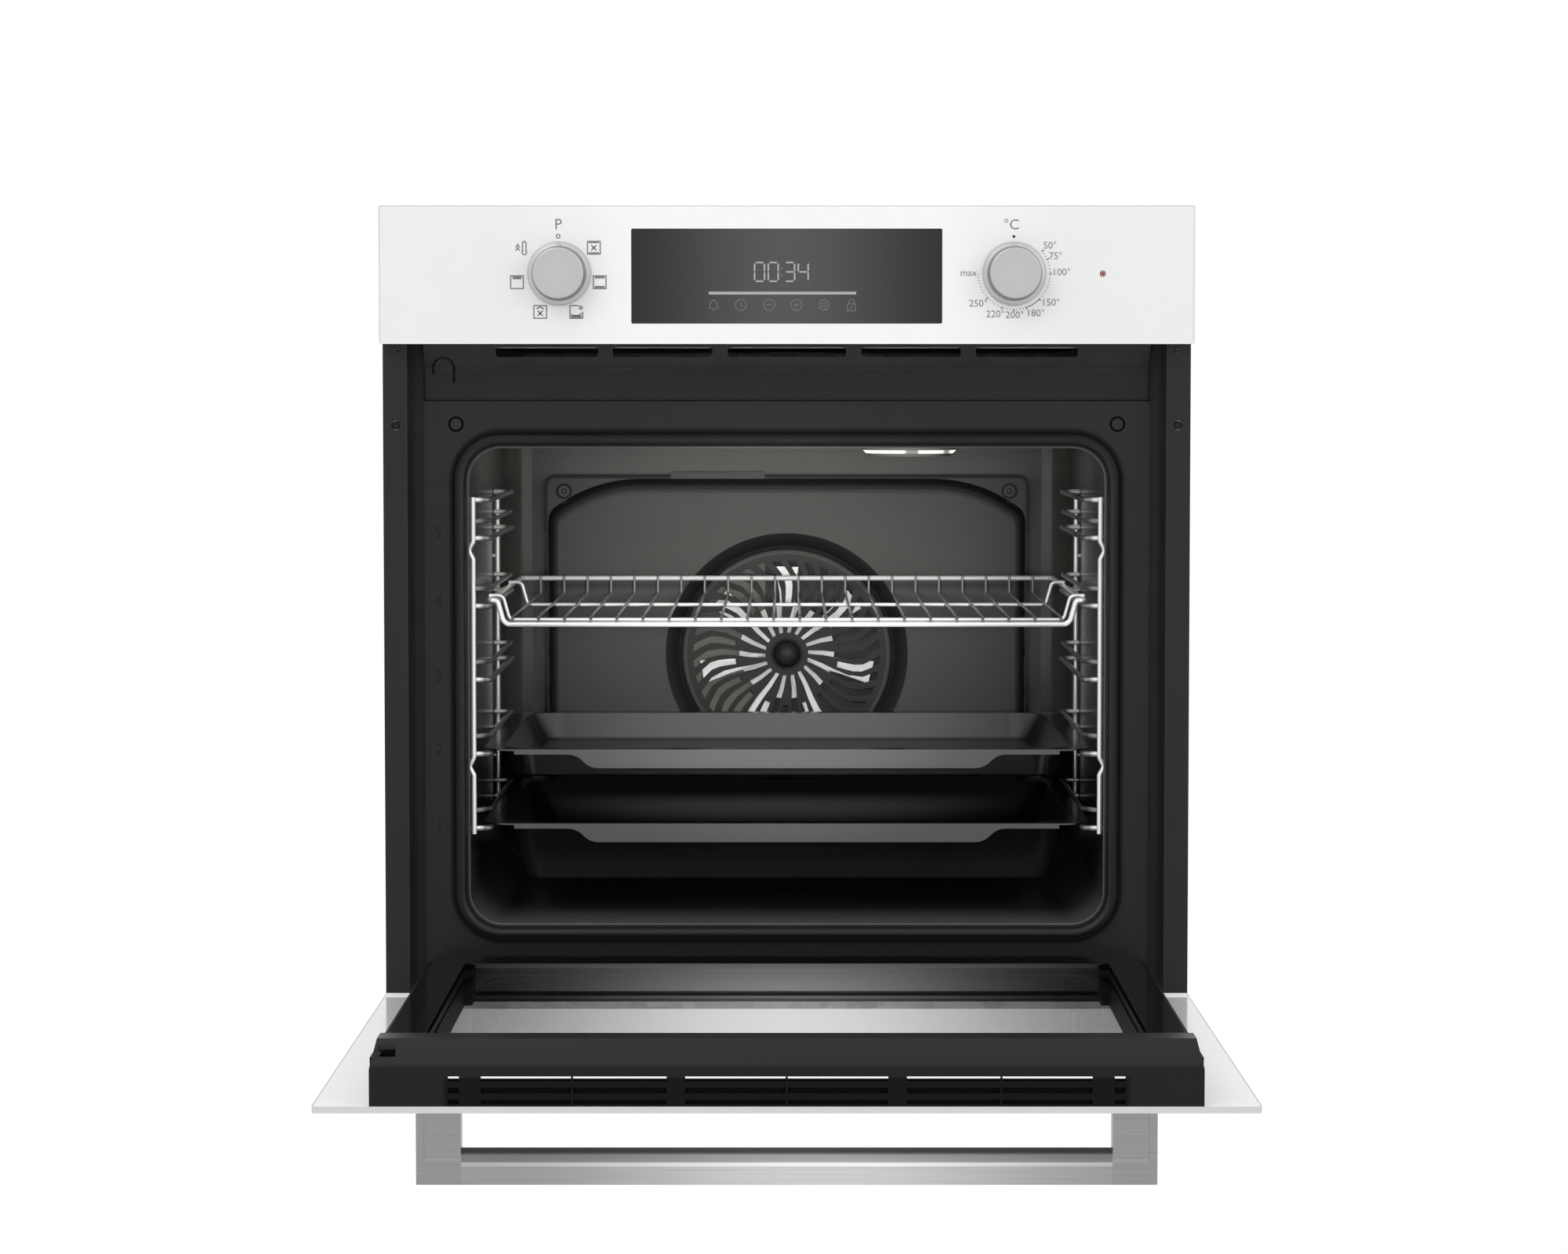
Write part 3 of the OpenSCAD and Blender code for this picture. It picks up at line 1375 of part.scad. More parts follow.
base_plate();
left_side_panel();
right_side_panel();
back_panel();
top_cover();
left_side_trim();
right_side_trim();
front_frame();
frame_screws();
cavity_liner();
insulation();
door_gasket();
fan_cover();
fan_cover_screws();
ring_heater();
fan_motor();
grill_element();
bottom_element();
lamp_holder();
lamp_bulb();
lamp_cover();
left_shelf_ladder();
right_shelf_ladder();
air_duct();
blower_housing();
blower_motor();
control_panel();
panel_bracket();
display_window();
timer_board();
indicator_lens();
function_switch();
thermostat();
terminal_block();
hinge_receivers();
hinge_arms();
door_outer_glass();
door_middle_glass();
door_inner_glass();
glass_seals();
door_top_trim();
left_door_profile();
right_door_profile();
door_bottom_rail();
handle_bar();
left_handle_bracket();
right_handle_bracket();
handle_screws();
hinge_cases();
hinge_springs();
function_knob();
function_shaft();
temperature_knob();
temperature_shaft();
convection_fan();
blower_wheel();
wire_rack();
baking_tray();
deep_tray();
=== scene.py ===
import math

import bpy
import numpy as np
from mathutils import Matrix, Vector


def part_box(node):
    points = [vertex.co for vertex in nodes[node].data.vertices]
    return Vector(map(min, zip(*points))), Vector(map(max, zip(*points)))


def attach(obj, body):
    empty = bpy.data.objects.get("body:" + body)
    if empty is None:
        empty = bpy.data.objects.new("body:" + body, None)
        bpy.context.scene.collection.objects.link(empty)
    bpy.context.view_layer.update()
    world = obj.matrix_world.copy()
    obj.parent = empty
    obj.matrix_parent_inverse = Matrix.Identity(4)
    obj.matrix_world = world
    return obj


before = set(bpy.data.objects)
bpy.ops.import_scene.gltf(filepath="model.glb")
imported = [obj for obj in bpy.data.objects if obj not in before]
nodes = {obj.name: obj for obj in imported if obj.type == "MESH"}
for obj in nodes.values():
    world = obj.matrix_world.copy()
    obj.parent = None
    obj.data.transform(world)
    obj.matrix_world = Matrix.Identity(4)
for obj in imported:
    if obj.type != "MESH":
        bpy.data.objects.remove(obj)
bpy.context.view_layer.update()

# ---------------------------------------------------------------------------------------
# Studio: a pale floor well below the oven, as under a tall cabinet, a white room, two soft
# boxes in front and a camera on the oven's centre line, looking slightly down.

scene = bpy.context.scene
scene.view_settings.view_transform = "Standard"

camera_data = bpy.data.cameras.new("camera")
camera_data.lens = 93.98
camera_data.sensor_width = 36.0
camera_data.shift_x = -0.00175
camera_data.clip_end = 60.0
camera = bpy.data.objects.new("camera", camera_data)
camera.location = (0.0, -3.29427, 0.46446)
camera.rotation_euler = (math.radians(90.0 - 3.286), 0.0, 0.0)
scene.collection.objects.link(camera)
scene.camera = camera


def look_at(location, target):
    """Rotation that points an object's -Z axis from location to target."""
    direction = np.array(target, float) - np.array(location, float)
    length = float(np.linalg.norm(direction))
    pitch = math.acos(-direction[2] / length)
    return (pitch, 0.0, math.atan2(direction[0], -direction[1]) + math.pi)


def lamp(name, kind, place, target, energy):
    """A new light at a place, turned towards a target."""
    data = bpy.data.lights.new(name, kind)
    data.energy = energy
    light = bpy.data.objects.new(name, data)
    light.location = place
    light.rotation_euler = look_at(place, target)
    scene.collection.objects.link(light)
    return light


lamp("key_box", "AREA", (-1.3, -2.6, 2.4), (0.0, -0.3, 0.35), 18.0).data.size = 1.6
lamp("fill_box", "AREA", (1.9, -2.4, 1.3), (0.0, -0.3, 0.3), 8.0).data.size = 1.4


def feed(tree, value, socket):
    """Links an output to a socket, or sets the socket to a number or a colour. One number
    for a colour means that grey."""
    if isinstance(value, bpy.types.NodeSocket):
        tree.links.new(value, socket)
    elif socket.type == "RGBA":
        socket.default_value = (*np.broadcast_to(value, 3), 1.0)
    else:
        socket.default_value = value


def calculated(tree, operation, *values):
    """What a Math node makes of up to three values, each an output or a number."""
    node = tree.nodes.new("ShaderNodeMath")
    node.operation = operation
    for value, socket in zip((*values, 0.0), node.inputs):
        feed(tree, value, socket)
    return node.outputs["Value"]


def ranged(tree, value, start, end, low=0.0, high=1.0, kind="LINEAR"):
    """A value that runs from low to high while the given one runs from start to end."""
    node = tree.nodes.new("ShaderNodeMapRange")
    node.interpolation_type = kind
    for key, part in (("Value", value), ("From Min", start), ("From Max", end),
                      ("To Min", low), ("To Max", high)):
        feed(tree, part, node.inputs[key])
    return node.outputs["Result"]


def seen_directly(tree):
    """1 for what is seen by itself, in a mirror or through glass, and 0 for its light."""
    path = tree.nodes.new("ShaderNodeLightPath")
    seen = calculated(tree, "MAXIMUM", path.outputs["Is Camera Ray"],
                      path.outputs["Is Glossy Ray"])
    return calculated(tree, "MAXIMUM", seen, path.outputs["Is Transmission Ray"])


ROOM_LIGHT = 0.9
world = bpy.data.worlds.new("white_room")
scene.world = world
world.use_nodes = True
tree = world.node_tree
background = tree.nodes["Background"]
feed(tree, 1.0, background.inputs["Color"])
feed(tree, ranged(tree, seen_directly(tree), 0.0, 1.0, ROOM_LIGHT, 1.0),
     background.inputs["Strength"])

FLOOR_Z = -0.55
FLOOR_REACH = 14.0
floor_mesh = bpy.data.meshes.new("floor")
floor_mesh.from_pydata(
    [(x * FLOOR_REACH, y * FLOOR_REACH, FLOOR_Z)
     for x, y in ((-1, -1), (1, -1), (1, 1), (-1, 1))],
    [], [(0, 1, 2, 3)])
floor = bpy.data.objects.new("floor", floor_mesh)
scene.collection.objects.link(floor)


def finish(name, color, roughness, **sockets):
    """A new Principled material; the sockets are given by their names with _ for spaces."""
    material = bpy.data.materials.new(name)
    material.use_nodes = True
    tree = material.node_tree
    shader = tree.nodes["Principled BSDF"]
    feed(tree, color, shader.inputs["Base Color"])
    feed(tree, roughness, shader.inputs["Roughness"])
    for socket, value in sockets.items():
        feed(tree, value, shader.inputs[socket.replace("_", " ")])
    return material, tree, shader


floor_paint, tree, shader = finish("floor_paint", 0.8, 0.9)
glow = tree.nodes.new("ShaderNodeEmission")
feed(tree, 1.0, glow.inputs["Color"])
mix = tree.nodes.new("ShaderNodeMixShader")
feed(tree, seen_directly(tree), mix.inputs["Fac"])
feed(tree, shader.outputs["BSDF"], mix.inputs[1])
feed(tree, glow.outputs["Emission"], mix.inputs[2])
feed(tree, mix.outputs["Shader"], tree.nodes["Material Output"].inputs["Surface"])
floor_mesh.materials.append(floor_paint)

# ---------------------------------------------------------------------------------------
# Outer case: base, sides, back and top of zinc-coated steel sheet, folded and spot welded,
# with the air duct, the blower's housing and the hinges' brackets of the same sheet.

def effect(name, numbers, outputs):
    """A new node group with number inputs {name: value} and number outputs."""
    group = bpy.data.node_groups.new(name, "ShaderNodeTree")
    for key, value in numbers.items():
        socket = group.interface.new_socket(key, in_out="INPUT", socket_type="NodeSocketFloat")
        socket.default_value = value
    for key in outputs:
        group.interface.new_socket(key, in_out="OUTPUT", socket_type="NodeSocketFloat")
    return group, group.nodes.new("NodeGroupInput"), group.nodes.new("NodeGroupOutput")


def place_effect(tree, group, **numbers):
    """The group as a node of a material's tree, with its own values."""
    node = tree.nodes.new("ShaderNodeGroup")
    node.node_tree = group
    for key, value in numbers.items():
        feed(tree, value, node.inputs[key])
    return node


def dress(material, *names):
    """Gives the material to the named CAD nodes."""
    for name in names:
        nodes[name].data.materials.clear()
        nodes[name].data.materials.append(material)


def own_place(tree):
    """The object's own coordinates, in metres."""
    return tree.nodes.new("ShaderNodeTexCoord").outputs["Object"]


def noise(tree, scale, detail=2.0):
    """Soft noise from 0 to 1 over the object's own coordinates."""
    node = tree.nodes.new("ShaderNodeTexNoise")
    for key, value in (("Vector", own_place(tree)), ("Scale", scale), ("Detail", detail)):
        feed(tree, value, node.inputs[key])
    return node.outputs["Fac"]


def mixed(tree, part, first, second, blend="MIX"):
    """Two colours, each an output or a colour: the second one's part goes from 0 to 1."""
    node = tree.nodes.new("ShaderNodeMix")
    node.data_type = "RGBA"
    node.blend_type = blend
    for key, value in (("Factor", part), ("A", first), ("B", second)):
        feed(tree, value, node.inputs[key])
    return node.outputs["Result"]


def uneven(tree, height, shader, distance):
    """Feeds a height of 0 to 1 times a distance in metres into the shader's normal."""
    bump = tree.nodes.new("ShaderNodeBump")
    feed(tree, distance, bump.inputs["Distance"])
    feed(tree, height, bump.inputs["Height"])
    feed(tree, bump.outputs["Normal"], shader.inputs["Normal"])


# Zinc flowers: cells of one tone each, with a fine grain over them
zinc_flowers, inside, outside = effect("zinc_flowers", {"Size": 60.0}, ("Tone", "Height"))
cells = zinc_flowers.nodes.new("ShaderNodeTexVoronoi")
split = zinc_flowers.nodes.new("ShaderNodeSeparateColor")
grain = noise(zinc_flowers, 900.0, 3.0)
for value, socket in (
    (own_place(zinc_flowers), cells.inputs["Vector"]),
    (inside.outputs["Size"], cells.inputs["Scale"]),
    (cells.outputs["Color"], split.inputs["Color"]),
    (calculated(zinc_flowers, "MULTIPLY_ADD", grain, 0.35, split.outputs["Red"]),
     outside.inputs["Tone"]),
    (grain, outside.inputs["Height"]),
):
    feed(zinc_flowers, value, socket)

zinc_sheet, tree, shader = finish("zinc_sheet", (0.55, 0.56, 0.57), 0.42, Metallic=1.0)
flowers = place_effect(tree, zinc_flowers, Size=85.0)
feed(tree, mixed(tree, flowers.outputs["Tone"], (0.42, 0.43, 0.445), (0.62, 0.63, 0.64)),
     shader.inputs["Base Color"])
uneven(tree, flowers.outputs["Height"], shader, 0.00004)
dress(zinc_sheet, "base_plate", "left_side_panel", "right_side_panel", "back_panel",
      "top_cover", "air_duct", "blower_housing", "hinge_receivers")

mineral_wool, tree, shader = finish("mineral_wool", (0.55, 0.47, 0.22), 0.95)
fibre = noise(tree, 260.0, 8.0)
feed(tree, mixed(tree, fibre, (0.4, 0.33, 0.15), (0.75, 0.66, 0.36)),
     shader.inputs["Base Color"])
uneven(tree, fibre, shader, 0.0015)
dress(mineral_wool, "insulation")

# ---------------------------------------------------------------------------------------
# Front frame and side flanges: pressed steel under dark satin enamel. The enamel flows a
# little before it sets, which leaves fine waves and pinhead specks in it.

MOUTH = (235.5, 246.0, 177.0, 24.0)  # half width, middle, half height, corner radius in mm
FRAME_SCREWS = (244.8, 440.8)        # X to either side and Z

enamel_flow, inside, outside = effect("enamel_flow", {"Wave": 45.0, "Speck": 1400.0},
                                      ("Tone", "Height"))
wave = noise(enamel_flow, inside.outputs["Wave"])
speck = noise(enamel_flow, inside.outputs["Speck"], 1.0)
feed(enamel_flow, wave, outside.inputs["Tone"])
feed(enamel_flow, calculated(enamel_flow, "MULTIPLY_ADD", speck, 0.12, wave),
     outside.inputs["Height"])


def enamel(name, light, dark, roughness, **sockets):
    """Vitreous enamel over sheet steel, with the flow's waves in tone and surface."""
    material, tree, shader = finish(name, dark, roughness, **sockets)
    flow = place_effect(tree, enamel_flow)
    feed(tree, mixed(tree, flow.outputs["Tone"], dark, light), shader.inputs["Base Color"])
    uneven(tree, flow.outputs["Height"], shader, 0.00002)
    return material, tree, shader


def own_axis(tree, name):
    """One of the object's own coordinates, in mm."""
    axes = tree.nodes.new("ShaderNodeSeparateXYZ")
    feed(tree, own_place(tree), axes.inputs["Vector"])
    return calculated(tree, "MULTIPLY", axes.outputs[name], 1000.0)


def off_middle(tree, name, middle=0.0):
    """The distance in mm along one axis from a middle."""
    return calculated(tree, "ABSOLUTE",
                      calculated(tree, "SUBTRACT", own_axis(tree, name), middle))


def past(tree, value, start):
    """How far a value lies past a start, and 0 before it."""
    return calculated(tree, "MAXIMUM", calculated(tree, "SUBTRACT", value, start), 0.0)


def diagonal(tree, first, second):
    """The diagonal over two sides at right angles: sqrt(a^2 + b^2)."""
    squares = (calculated(tree, "MULTIPLY", side, side) for side in (first, second))
    return calculated(tree, "SQRT", calculated(tree, "ADD", *squares))


def axis_distance(tree, x, z):
    """Distance in mm from the axes along Y through (x, z) and (-x, z), of a point p:
    d = sqrt((|p.x| - x)^2 + (p.z - z)^2)."""
    return diagonal(tree, calculated(tree, "SUBTRACT", off_middle(tree, "X"), x),
                    calculated(tree, "SUBTRACT", own_axis(tree, "Z"), z))


def outside_loop(tree, half_x, middle_z, half_z, radius):
    """How far in mm a point lies outside a rounded rectangle in X and Z:
    d = length(max(|p| - (half - radius), 0)) - radius."""
    across = past(tree, off_middle(tree, "X"), half_x - radius)
    along = past(tree, off_middle(tree, "Z", middle_z), half_z - radius)
    return calculated(tree, "SUBTRACT", diagonal(tree, across, along), radius)


def bands(tree, value, limit, stops):
    """A colour that follows a value from 0 to limit: stops are pairs of value and colour,
    or of value and grey."""
    ramp = tree.nodes.new("ShaderNodeValToRGB")
    elements = ramp.color_ramp.elements
    while len(elements) < len(stops):
        elements.new(1.0)
    for element, (at, color) in zip(elements, stops):
        element.position = at / limit
        element.color = (*np.broadcast_to(color, 3), 1.0)
    feed(tree, calculated(tree, "DIVIDE", value, limit), ramp.inputs["Fac"])
    return ramp.outputs["Color"]


def toned(tree, socket, value, limit, stops):
    """Multiplies what feeds a colour socket by a tone in bands."""
    feed(tree, mixed(tree, 1.0, socket.links[0].from_socket,
                     bands(tree, value, limit, stops), "MULTIPLY"), socket)


frame_enamel, tree, shader = enamel("frame_enamel", (0.013, 0.013, 0.0125),
                                    (0.009, 0.009, 0.0088), 0.4, Specular_IOR_Level=0.3)
base = shader.inputs["Base Color"]
# the fold above the mouth lies in shade and the one above it catches light
toned(tree, base, own_axis(tree, "Z"), 600.0,
      [(0.0, 1.0), (456.0, 1.0), (459.0, 0.7), (481.0, 0.7), (484.0, 2.9), (600.0, 2.9)])
# painted highlight: the mouth's edge is made bright, and painted shade sets each screw in a
# dark ring
toned(tree, base, outside_loop(tree, *MOUTH), 20.0,
      [(0.0, 13.0), (0.9, 13.0), (1.1, 1.0), (20.0, 1.0)])
ring = axis_distance(tree, *FRAME_SCREWS)
toned(tree, base, ring, 10.0,
      [(0.0, 1.0), (4.3, 1.0), (4.6, 0.05), (5.6, 0.05), (5.9, 1.0), (10.0, 1.0)])
feed(tree, bands(tree, ring, 10.0, [(0.0, 0.3), (4.3, 0.3), (4.6, 0.02), (5.6, 0.02),
                                    (5.9, 0.3), (10.0, 0.3)]),
     shader.inputs["Specular IOR Level"])
dress(frame_enamel, "front_frame")

flange_enamel, tree, shader = enamel("flange_enamel", (0.013, 0.013, 0.0125),
                                     (0.009, 0.009, 0.0088), 0.4, Specular_IOR_Level=0.3)
# painted light: the inward slope of each flange, which lies in shade, is made lighter, most of
# all next to the frame
toned(tree, shader.inputs["Base Color"], off_middle(tree, "X"), 300.0,
      [(0.0, 2.8), (273.5, 2.8), (275.0, 1.5), (278.6, 1.5), (279.8, 1.0), (300.0, 1.0)])
dress(flange_enamel, "left_side_trim", "right_side_trim")

frame_screw, tree, shader = finish("frame_screw", 0.012, 0.4, Specular_IOR_Level=0.3)
# painted shade: each head darkens at its rim, where it meets the dark ring round it
feed(tree, bands(tree, axis_distance(tree, *FRAME_SCREWS), 10.0,
                 [(0.0, 0.013), (3.9, 0.013), (4.1, 0.001), (4.6, 0.001)]),
     shader.inputs["Base Color"])
dress(frame_screw, "frame_screws")

# ---------------------------------------------------------------------------------------
# Cavity: one deep-drawn and welded box under smooth black-grey enamel, with the pressed
# fan cover hung in front of the fan's well by screws, and a silicone seal round the mouth.

COVER = (203.0, 245.25, 149.25, 9.0)  # half width, middle, half height, corner radius
COVER_RIM = (197.0, 245.25, 143.25, 3.0)
COVER_SCREWS = (186.5, 381.5)
TONGUE_X, TONGUE_HALF = -58.0, 39.5   # the tongue at the top by which the cover hangs
CROWN_X, CROWN_Z, CROWN_R = 123.0, 274.0, 118.0
SHOULDER_X, SHOULDER_Z, SHOULDER_R = 184.0, 356.0, 16.0
FAN_Z = 245.0
BACK_WALL_Y = 145.0                   # just before the cavity's back wall

cavity_enamel, tree, shader = enamel("cavity_enamel", (0.046, 0.045, 0.042),
                                     (0.04, 0.039, 0.036), 0.2, Specular_IOR_Level=0.5)
base = shader.inputs["Base Color"]
# the floor, the upper wall and the fan's well catch more light than the sides
toned(tree, base, own_axis(tree, "Z"), 450.0,
      [(0.0, 3.2), (74.0, 3.2), (92.0, 1.7), (125.0, 1.0), (385.0, 1.0), (400.0, 1.35),
       (450.0, 1.35)])
toned(tree, base, own_axis(tree, "Y"), 200.0,
      [(0.0, 1.0), (150.0, 1.0), (152.0, 3.0), (200.0, 3.0)])
# shade in the gap round the fan cover, apart from the tongue
beside = calculated(tree, "GREATER_THAN", off_middle(tree, "X", TONGUE_X), TONGUE_HALF)
behind = calculated(tree, "GREATER_THAN", own_axis(tree, "Y"), BACK_WALL_Y)
off = calculated(tree, "SUBTRACT", 1.0, calculated(tree, "MULTIPLY", beside, behind))
gap = calculated(tree, "MULTIPLY_ADD", off, 500.0, outside_loop(tree, *COVER))
toned(tree, base, gap, 20.0, [(0.0, 0.25), (0.8, 0.3), (2.2, 1.0), (20.0, 1.0)])
dress(cavity_enamel, "cavity_liner")

cover_enamel, tree, shader = enamel("cover_enamel", (0.05, 0.049, 0.046),
                                    (0.043, 0.042, 0.04), 0.33, Specular_IOR_Level=0.4)
base = shader.inputs["Base Color"]
# painted shade on the raised panel's pressed edge, by depth inside its crown and inside its
# shoulders
away, height = off_middle(tree, "X"), own_axis(tree, "Z")
crown = diagonal(tree, past(tree, away, CROWN_X), past(tree, height, CROWN_Z))
aside = calculated(tree, "GREATER_THAN", away, SHOULDER_X)
shoulder = diagonal(tree, past(tree, away, SHOULDER_X),
                    calculated(tree, "MULTIPLY", aside, past(tree, height, SHOULDER_Z)))
depth = calculated(tree, "MINIMUM", calculated(tree, "SUBTRACT", CROWN_R, crown),
                   calculated(tree, "MULTIPLY",
                              calculated(tree, "SUBTRACT", SHOULDER_R, shoulder), 1.5))
toned(tree, base, depth, 20.0,
      [(0.0, 1.0), (0.2, 1.0), (0.4, 0.18), (4.0, 0.2), (8.0, 0.35), (11.0, 0.55),
       (13.0, 1.0), (20.0, 1.0)])
# painted shade also on the rim that lies in the shade of the cavity's back wall, apart from
# the tongue
tongue = calculated(tree, "LESS_THAN", off_middle(tree, "X", TONGUE_X), TONGUE_HALF)
rim = calculated(tree, "MULTIPLY_ADD", tongue, -50.0, outside_loop(tree, *COVER_RIM))
toned(tree, base, rim, 20.0, [(0.0, 1.0), (3.2, 1.0), (4.0, 0.2), (20.0, 0.2)])
# painted shade on the dished ring and round the hub's edge, and a painted highlight on the rim
# between the ring and the guard; the guard is darker than the panel
ring = axis_distance(tree, 0.0, FAN_Z)
toned(tree, base, ring, 130.0,
      [(0.0, 0.5), (4.0, 0.42), (12.4, 0.1), (13.4, 0.1), (13.8, 0.42), (83.6, 0.42),
       (84.4, 1.0), (86.6, 1.0), (87.4, 0.12), (96.0, 0.26), (101.2, 0.4), (101.8, 1.0),
       (130.0, 1.0)])
feed(tree, bands(tree, ring, 130.0, [(0.0, 0.4), (86.6, 0.4), (87.4, 0.12), (101.2, 0.2),
                                     (101.8, 0.4), (130.0, 0.4)]),
     shader.inputs["Specular IOR Level"])
dress(cover_enamel, "fan_cover")

cover_screw, tree, shader = finish("cover_screw", 0.03, 0.35, Specular_IOR_Level=0.4)
# painted shade: dark rings on each head, one inside it and one round its rim
feed(tree, bands(tree, axis_distance(tree, *COVER_SCREWS), 10.0,
                 [(0.0, 0.07), (1.1, 0.06), (1.4, 0.004), (2.3, 0.004), (2.6, 0.05),
                  (4.4, 0.06), (4.8, 0.003), (6.5, 0.003)]), shader.inputs["Base Color"])
dress(cover_screw, "fan_cover_screws")

# the seal is blacker at its outer foot, where the frame shades it
silicone, tree, shader = finish("silicone_seal", 0.012, 0.38)
uneven(tree, noise(tree, 700.0), shader, 0.00004)
lip = outside_loop(tree, *MOUTH)
feed(tree, bands(tree, lip, 20.0, [(0.0, 0.014), (5.0, 0.012), (8.5, 0.008), (20.0, 0.007)]),
     shader.inputs["Base Color"])
feed(tree, bands(tree, lip, 20.0, [(0.0, 0.35), (5.0, 0.3), (8.5, 0.12), (20.0, 0.1)]),
     shader.inputs["Specular IOR Level"])
dress(silicone, "door_gasket", "glass_seals")

# ---------------------------------------------------------------------------------------
# Heating rods, motors and other works behind the sheets: oxidised tube, plain steel,
# ivory switch mouldings, the lamp's ceramic holder and the timer's green board.

def speckled(name, light, dark, roughness, scale, height, **sockets):
    """A plain finish with fine noise in its tone and surface."""
    material, tree, shader = finish(name, dark, roughness, **sockets)
    specks = noise(tree, scale, 4.0)
    feed(tree, mixed(tree, specks, dark, light), shader.inputs["Base Color"])
    uneven(tree, specks, shader, height)
    return material, tree, shader


for name, light, dark, roughness, scale, height, metal, pieces in (
    ("rod_oxide", (0.16, 0.13, 0.12), (0.07, 0.065, 0.065), 0.5, 120.0, 0.00005, 0.8,
     ("ring_heater", "grill_element", "bottom_element")),
    ("plain_steel", 0.55, (0.4, 0.4, 0.41), 0.35, 400.0, 0.00003, 1.0,
     ("fan_motor", "blower_motor", "thermostat", "handle_screws", "hinge_springs",
      "hinge_arms", "hinge_cases")),
    ("ivory_moulding", (0.8, 0.76, 0.66), (0.72, 0.68, 0.58), 0.45, 500.0, 0.00004, 0.0,
     ("function_switch", "terminal_block")),
    ("green_board", (0.03, 0.14, 0.06), (0.02, 0.1, 0.04), 0.4, 800.0, 0.00004, 0.0,
     ("timer_board",)),
    ("lamp_ceramic", (0.85, 0.84, 0.8), (0.8, 0.79, 0.74), 0.3, 300.0, 0.00003, 0.0,
     ("lamp_holder",)),
):
    dress(speckled(name, light, dark, roughness, scale, height, Metallic=metal)[0], *pieces)

bracket_steel, tree, shader = finish("bracket_steel", (0.03, 0.03, 0.032), 0.35, Metallic=0.6)
uneven(tree, noise(tree, 1500.0), shader, 0.00003)
dress(bracket_steel, "panel_bracket")

# ---------------------------------------------------------------------------------------
# Hot-air fan and cooling wheel: bright stainless sheet, stamped and folded into blades and
# fixed on their motors' shafts. Each of the hot-air fan's blades has a rolled lip in front.

def box_mm(name):
    """The lowest and highest corner of a CAD node, in mm."""
    low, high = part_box(name)
    return np.array(low) * 1000.0, np.array(high) * 1000.0


def grid_faces(rows, columns, close_rows=False, close_columns=False):
    """Quads of a grid of rows x columns points, joined round where a side is closed."""
    row = np.arange(rows if close_rows else rows - 1)
    column = np.arange(columns if close_columns else columns - 1)
    a, b = np.meshgrid(row, column, indexing="ij")
    c, d = (a + 1) % rows, (b + 1) % columns
    quads = np.stack([a * columns + b, c * columns + b, c * columns + d, a * columns + d], -1)
    return quads.reshape(-1, 4)


def piece(name, points, faces, material, body):
    """A mesh piece from points in mm; it rides on the body and has the given finish."""
    mesh = bpy.data.meshes.new(name)
    mesh.from_pydata((np.asarray(points, float) / 1000.0).tolist(), [],
                     [tuple(int(i) for i in face) for face in faces])
    mesh.validate()
    mesh.materials.append(material)
    obj = bpy.data.objects.new(name, mesh)
    scene.collection.objects.link(obj)
    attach(obj, body)
    return obj


fan_steel, tree, shader = speckled("fan_steel", (0.95, 0.95, 0.94), (0.88, 0.88, 0.87), 0.3,
                                   350.0, 0.00003, Metallic=0.35)
dress(fan_steel, "convection_fan", "blower_wheel", "function_shaft", "temperature_shaft")

# A lip is a strip from the hub to the rim with its edges turned back: at the radius r and
# the distance s across, on a blade at the angle t, x = r cos t + s sin t and
# z = r sin t - s cos t
BLADES = 7
lip_r = np.array([24.0, 48.0, 72.6])[:, None]
lip_across = np.array([(-4.5, -3.5, 5.5, 6.5), (-6.0, -5.0, 6.0, 7.0),
                       (-5.0, -4.0, 9.0, 10.0)])
lip_back = np.array([0.6, 0.1, 0.1, 0.6])
lip_y = box_mm("convection_fan")[0][1]
for blade in range(BLADES):
    turn = math.radians(90.0 + 360.0 / BLADES * blade)
    grid = np.stack([lip_r * math.cos(turn) + lip_across * math.sin(turn),
                     lip_y + lip_back + 0 * lip_across,
                     lip_r * math.sin(turn) - lip_across * math.cos(turn) + FAN_Z], axis=-1)
    piece("blade_lip_%d" % (blade + 1), grid.reshape(-1, 3), grid_faces(3, 4)[:, ::-1],
          fan_steel, "hot_air_fan")

# ---------------------------------------------------------------------------------------
# Oven lamp: a bulb on a ceramic holder above a pressed glass cup that hangs from the
# ceiling. A painted highlight, a thin glowing line, crosses the cup's wall, broken by its
# moulded ribs.

LAMP_GLOW_Z = 417.6
LAMP_LEFT_X = 50.0

lamp_glass, tree, shader = finish("lamp_glass", (0.06, 0.06, 0.057), 0.2,
                                  Specular_IOR_Level=0.3, Emission_Color=(1.0, 0.97, 0.9))
# painted highlight: the glass glows only in a thin line at LAMP_GLOW_Z, broken by the ribs
line = ranged(tree, off_middle(tree, "Z", LAMP_GLOW_Z), 1.5, 1.1, 0.0, 1.2)
ribs = bands(tree, calculated(tree, "SUBTRACT", own_axis(tree, "X"), LAMP_LEFT_X), 100.0,
             [(0.0, 0.9), (41.0, 0.9), (44.0, 0.15), (52.0, 0.15), (54.0, 1.0), (72.0, 0.9),
              (74.0, 0.2), (77.0, 0.2), (79.0, 1.0)])
feed(tree, calculated(tree, "MULTIPLY", ribs, line), shader.inputs["Emission Strength"])
dress(lamp_glass, "lamp_cover", "lamp_bulb")

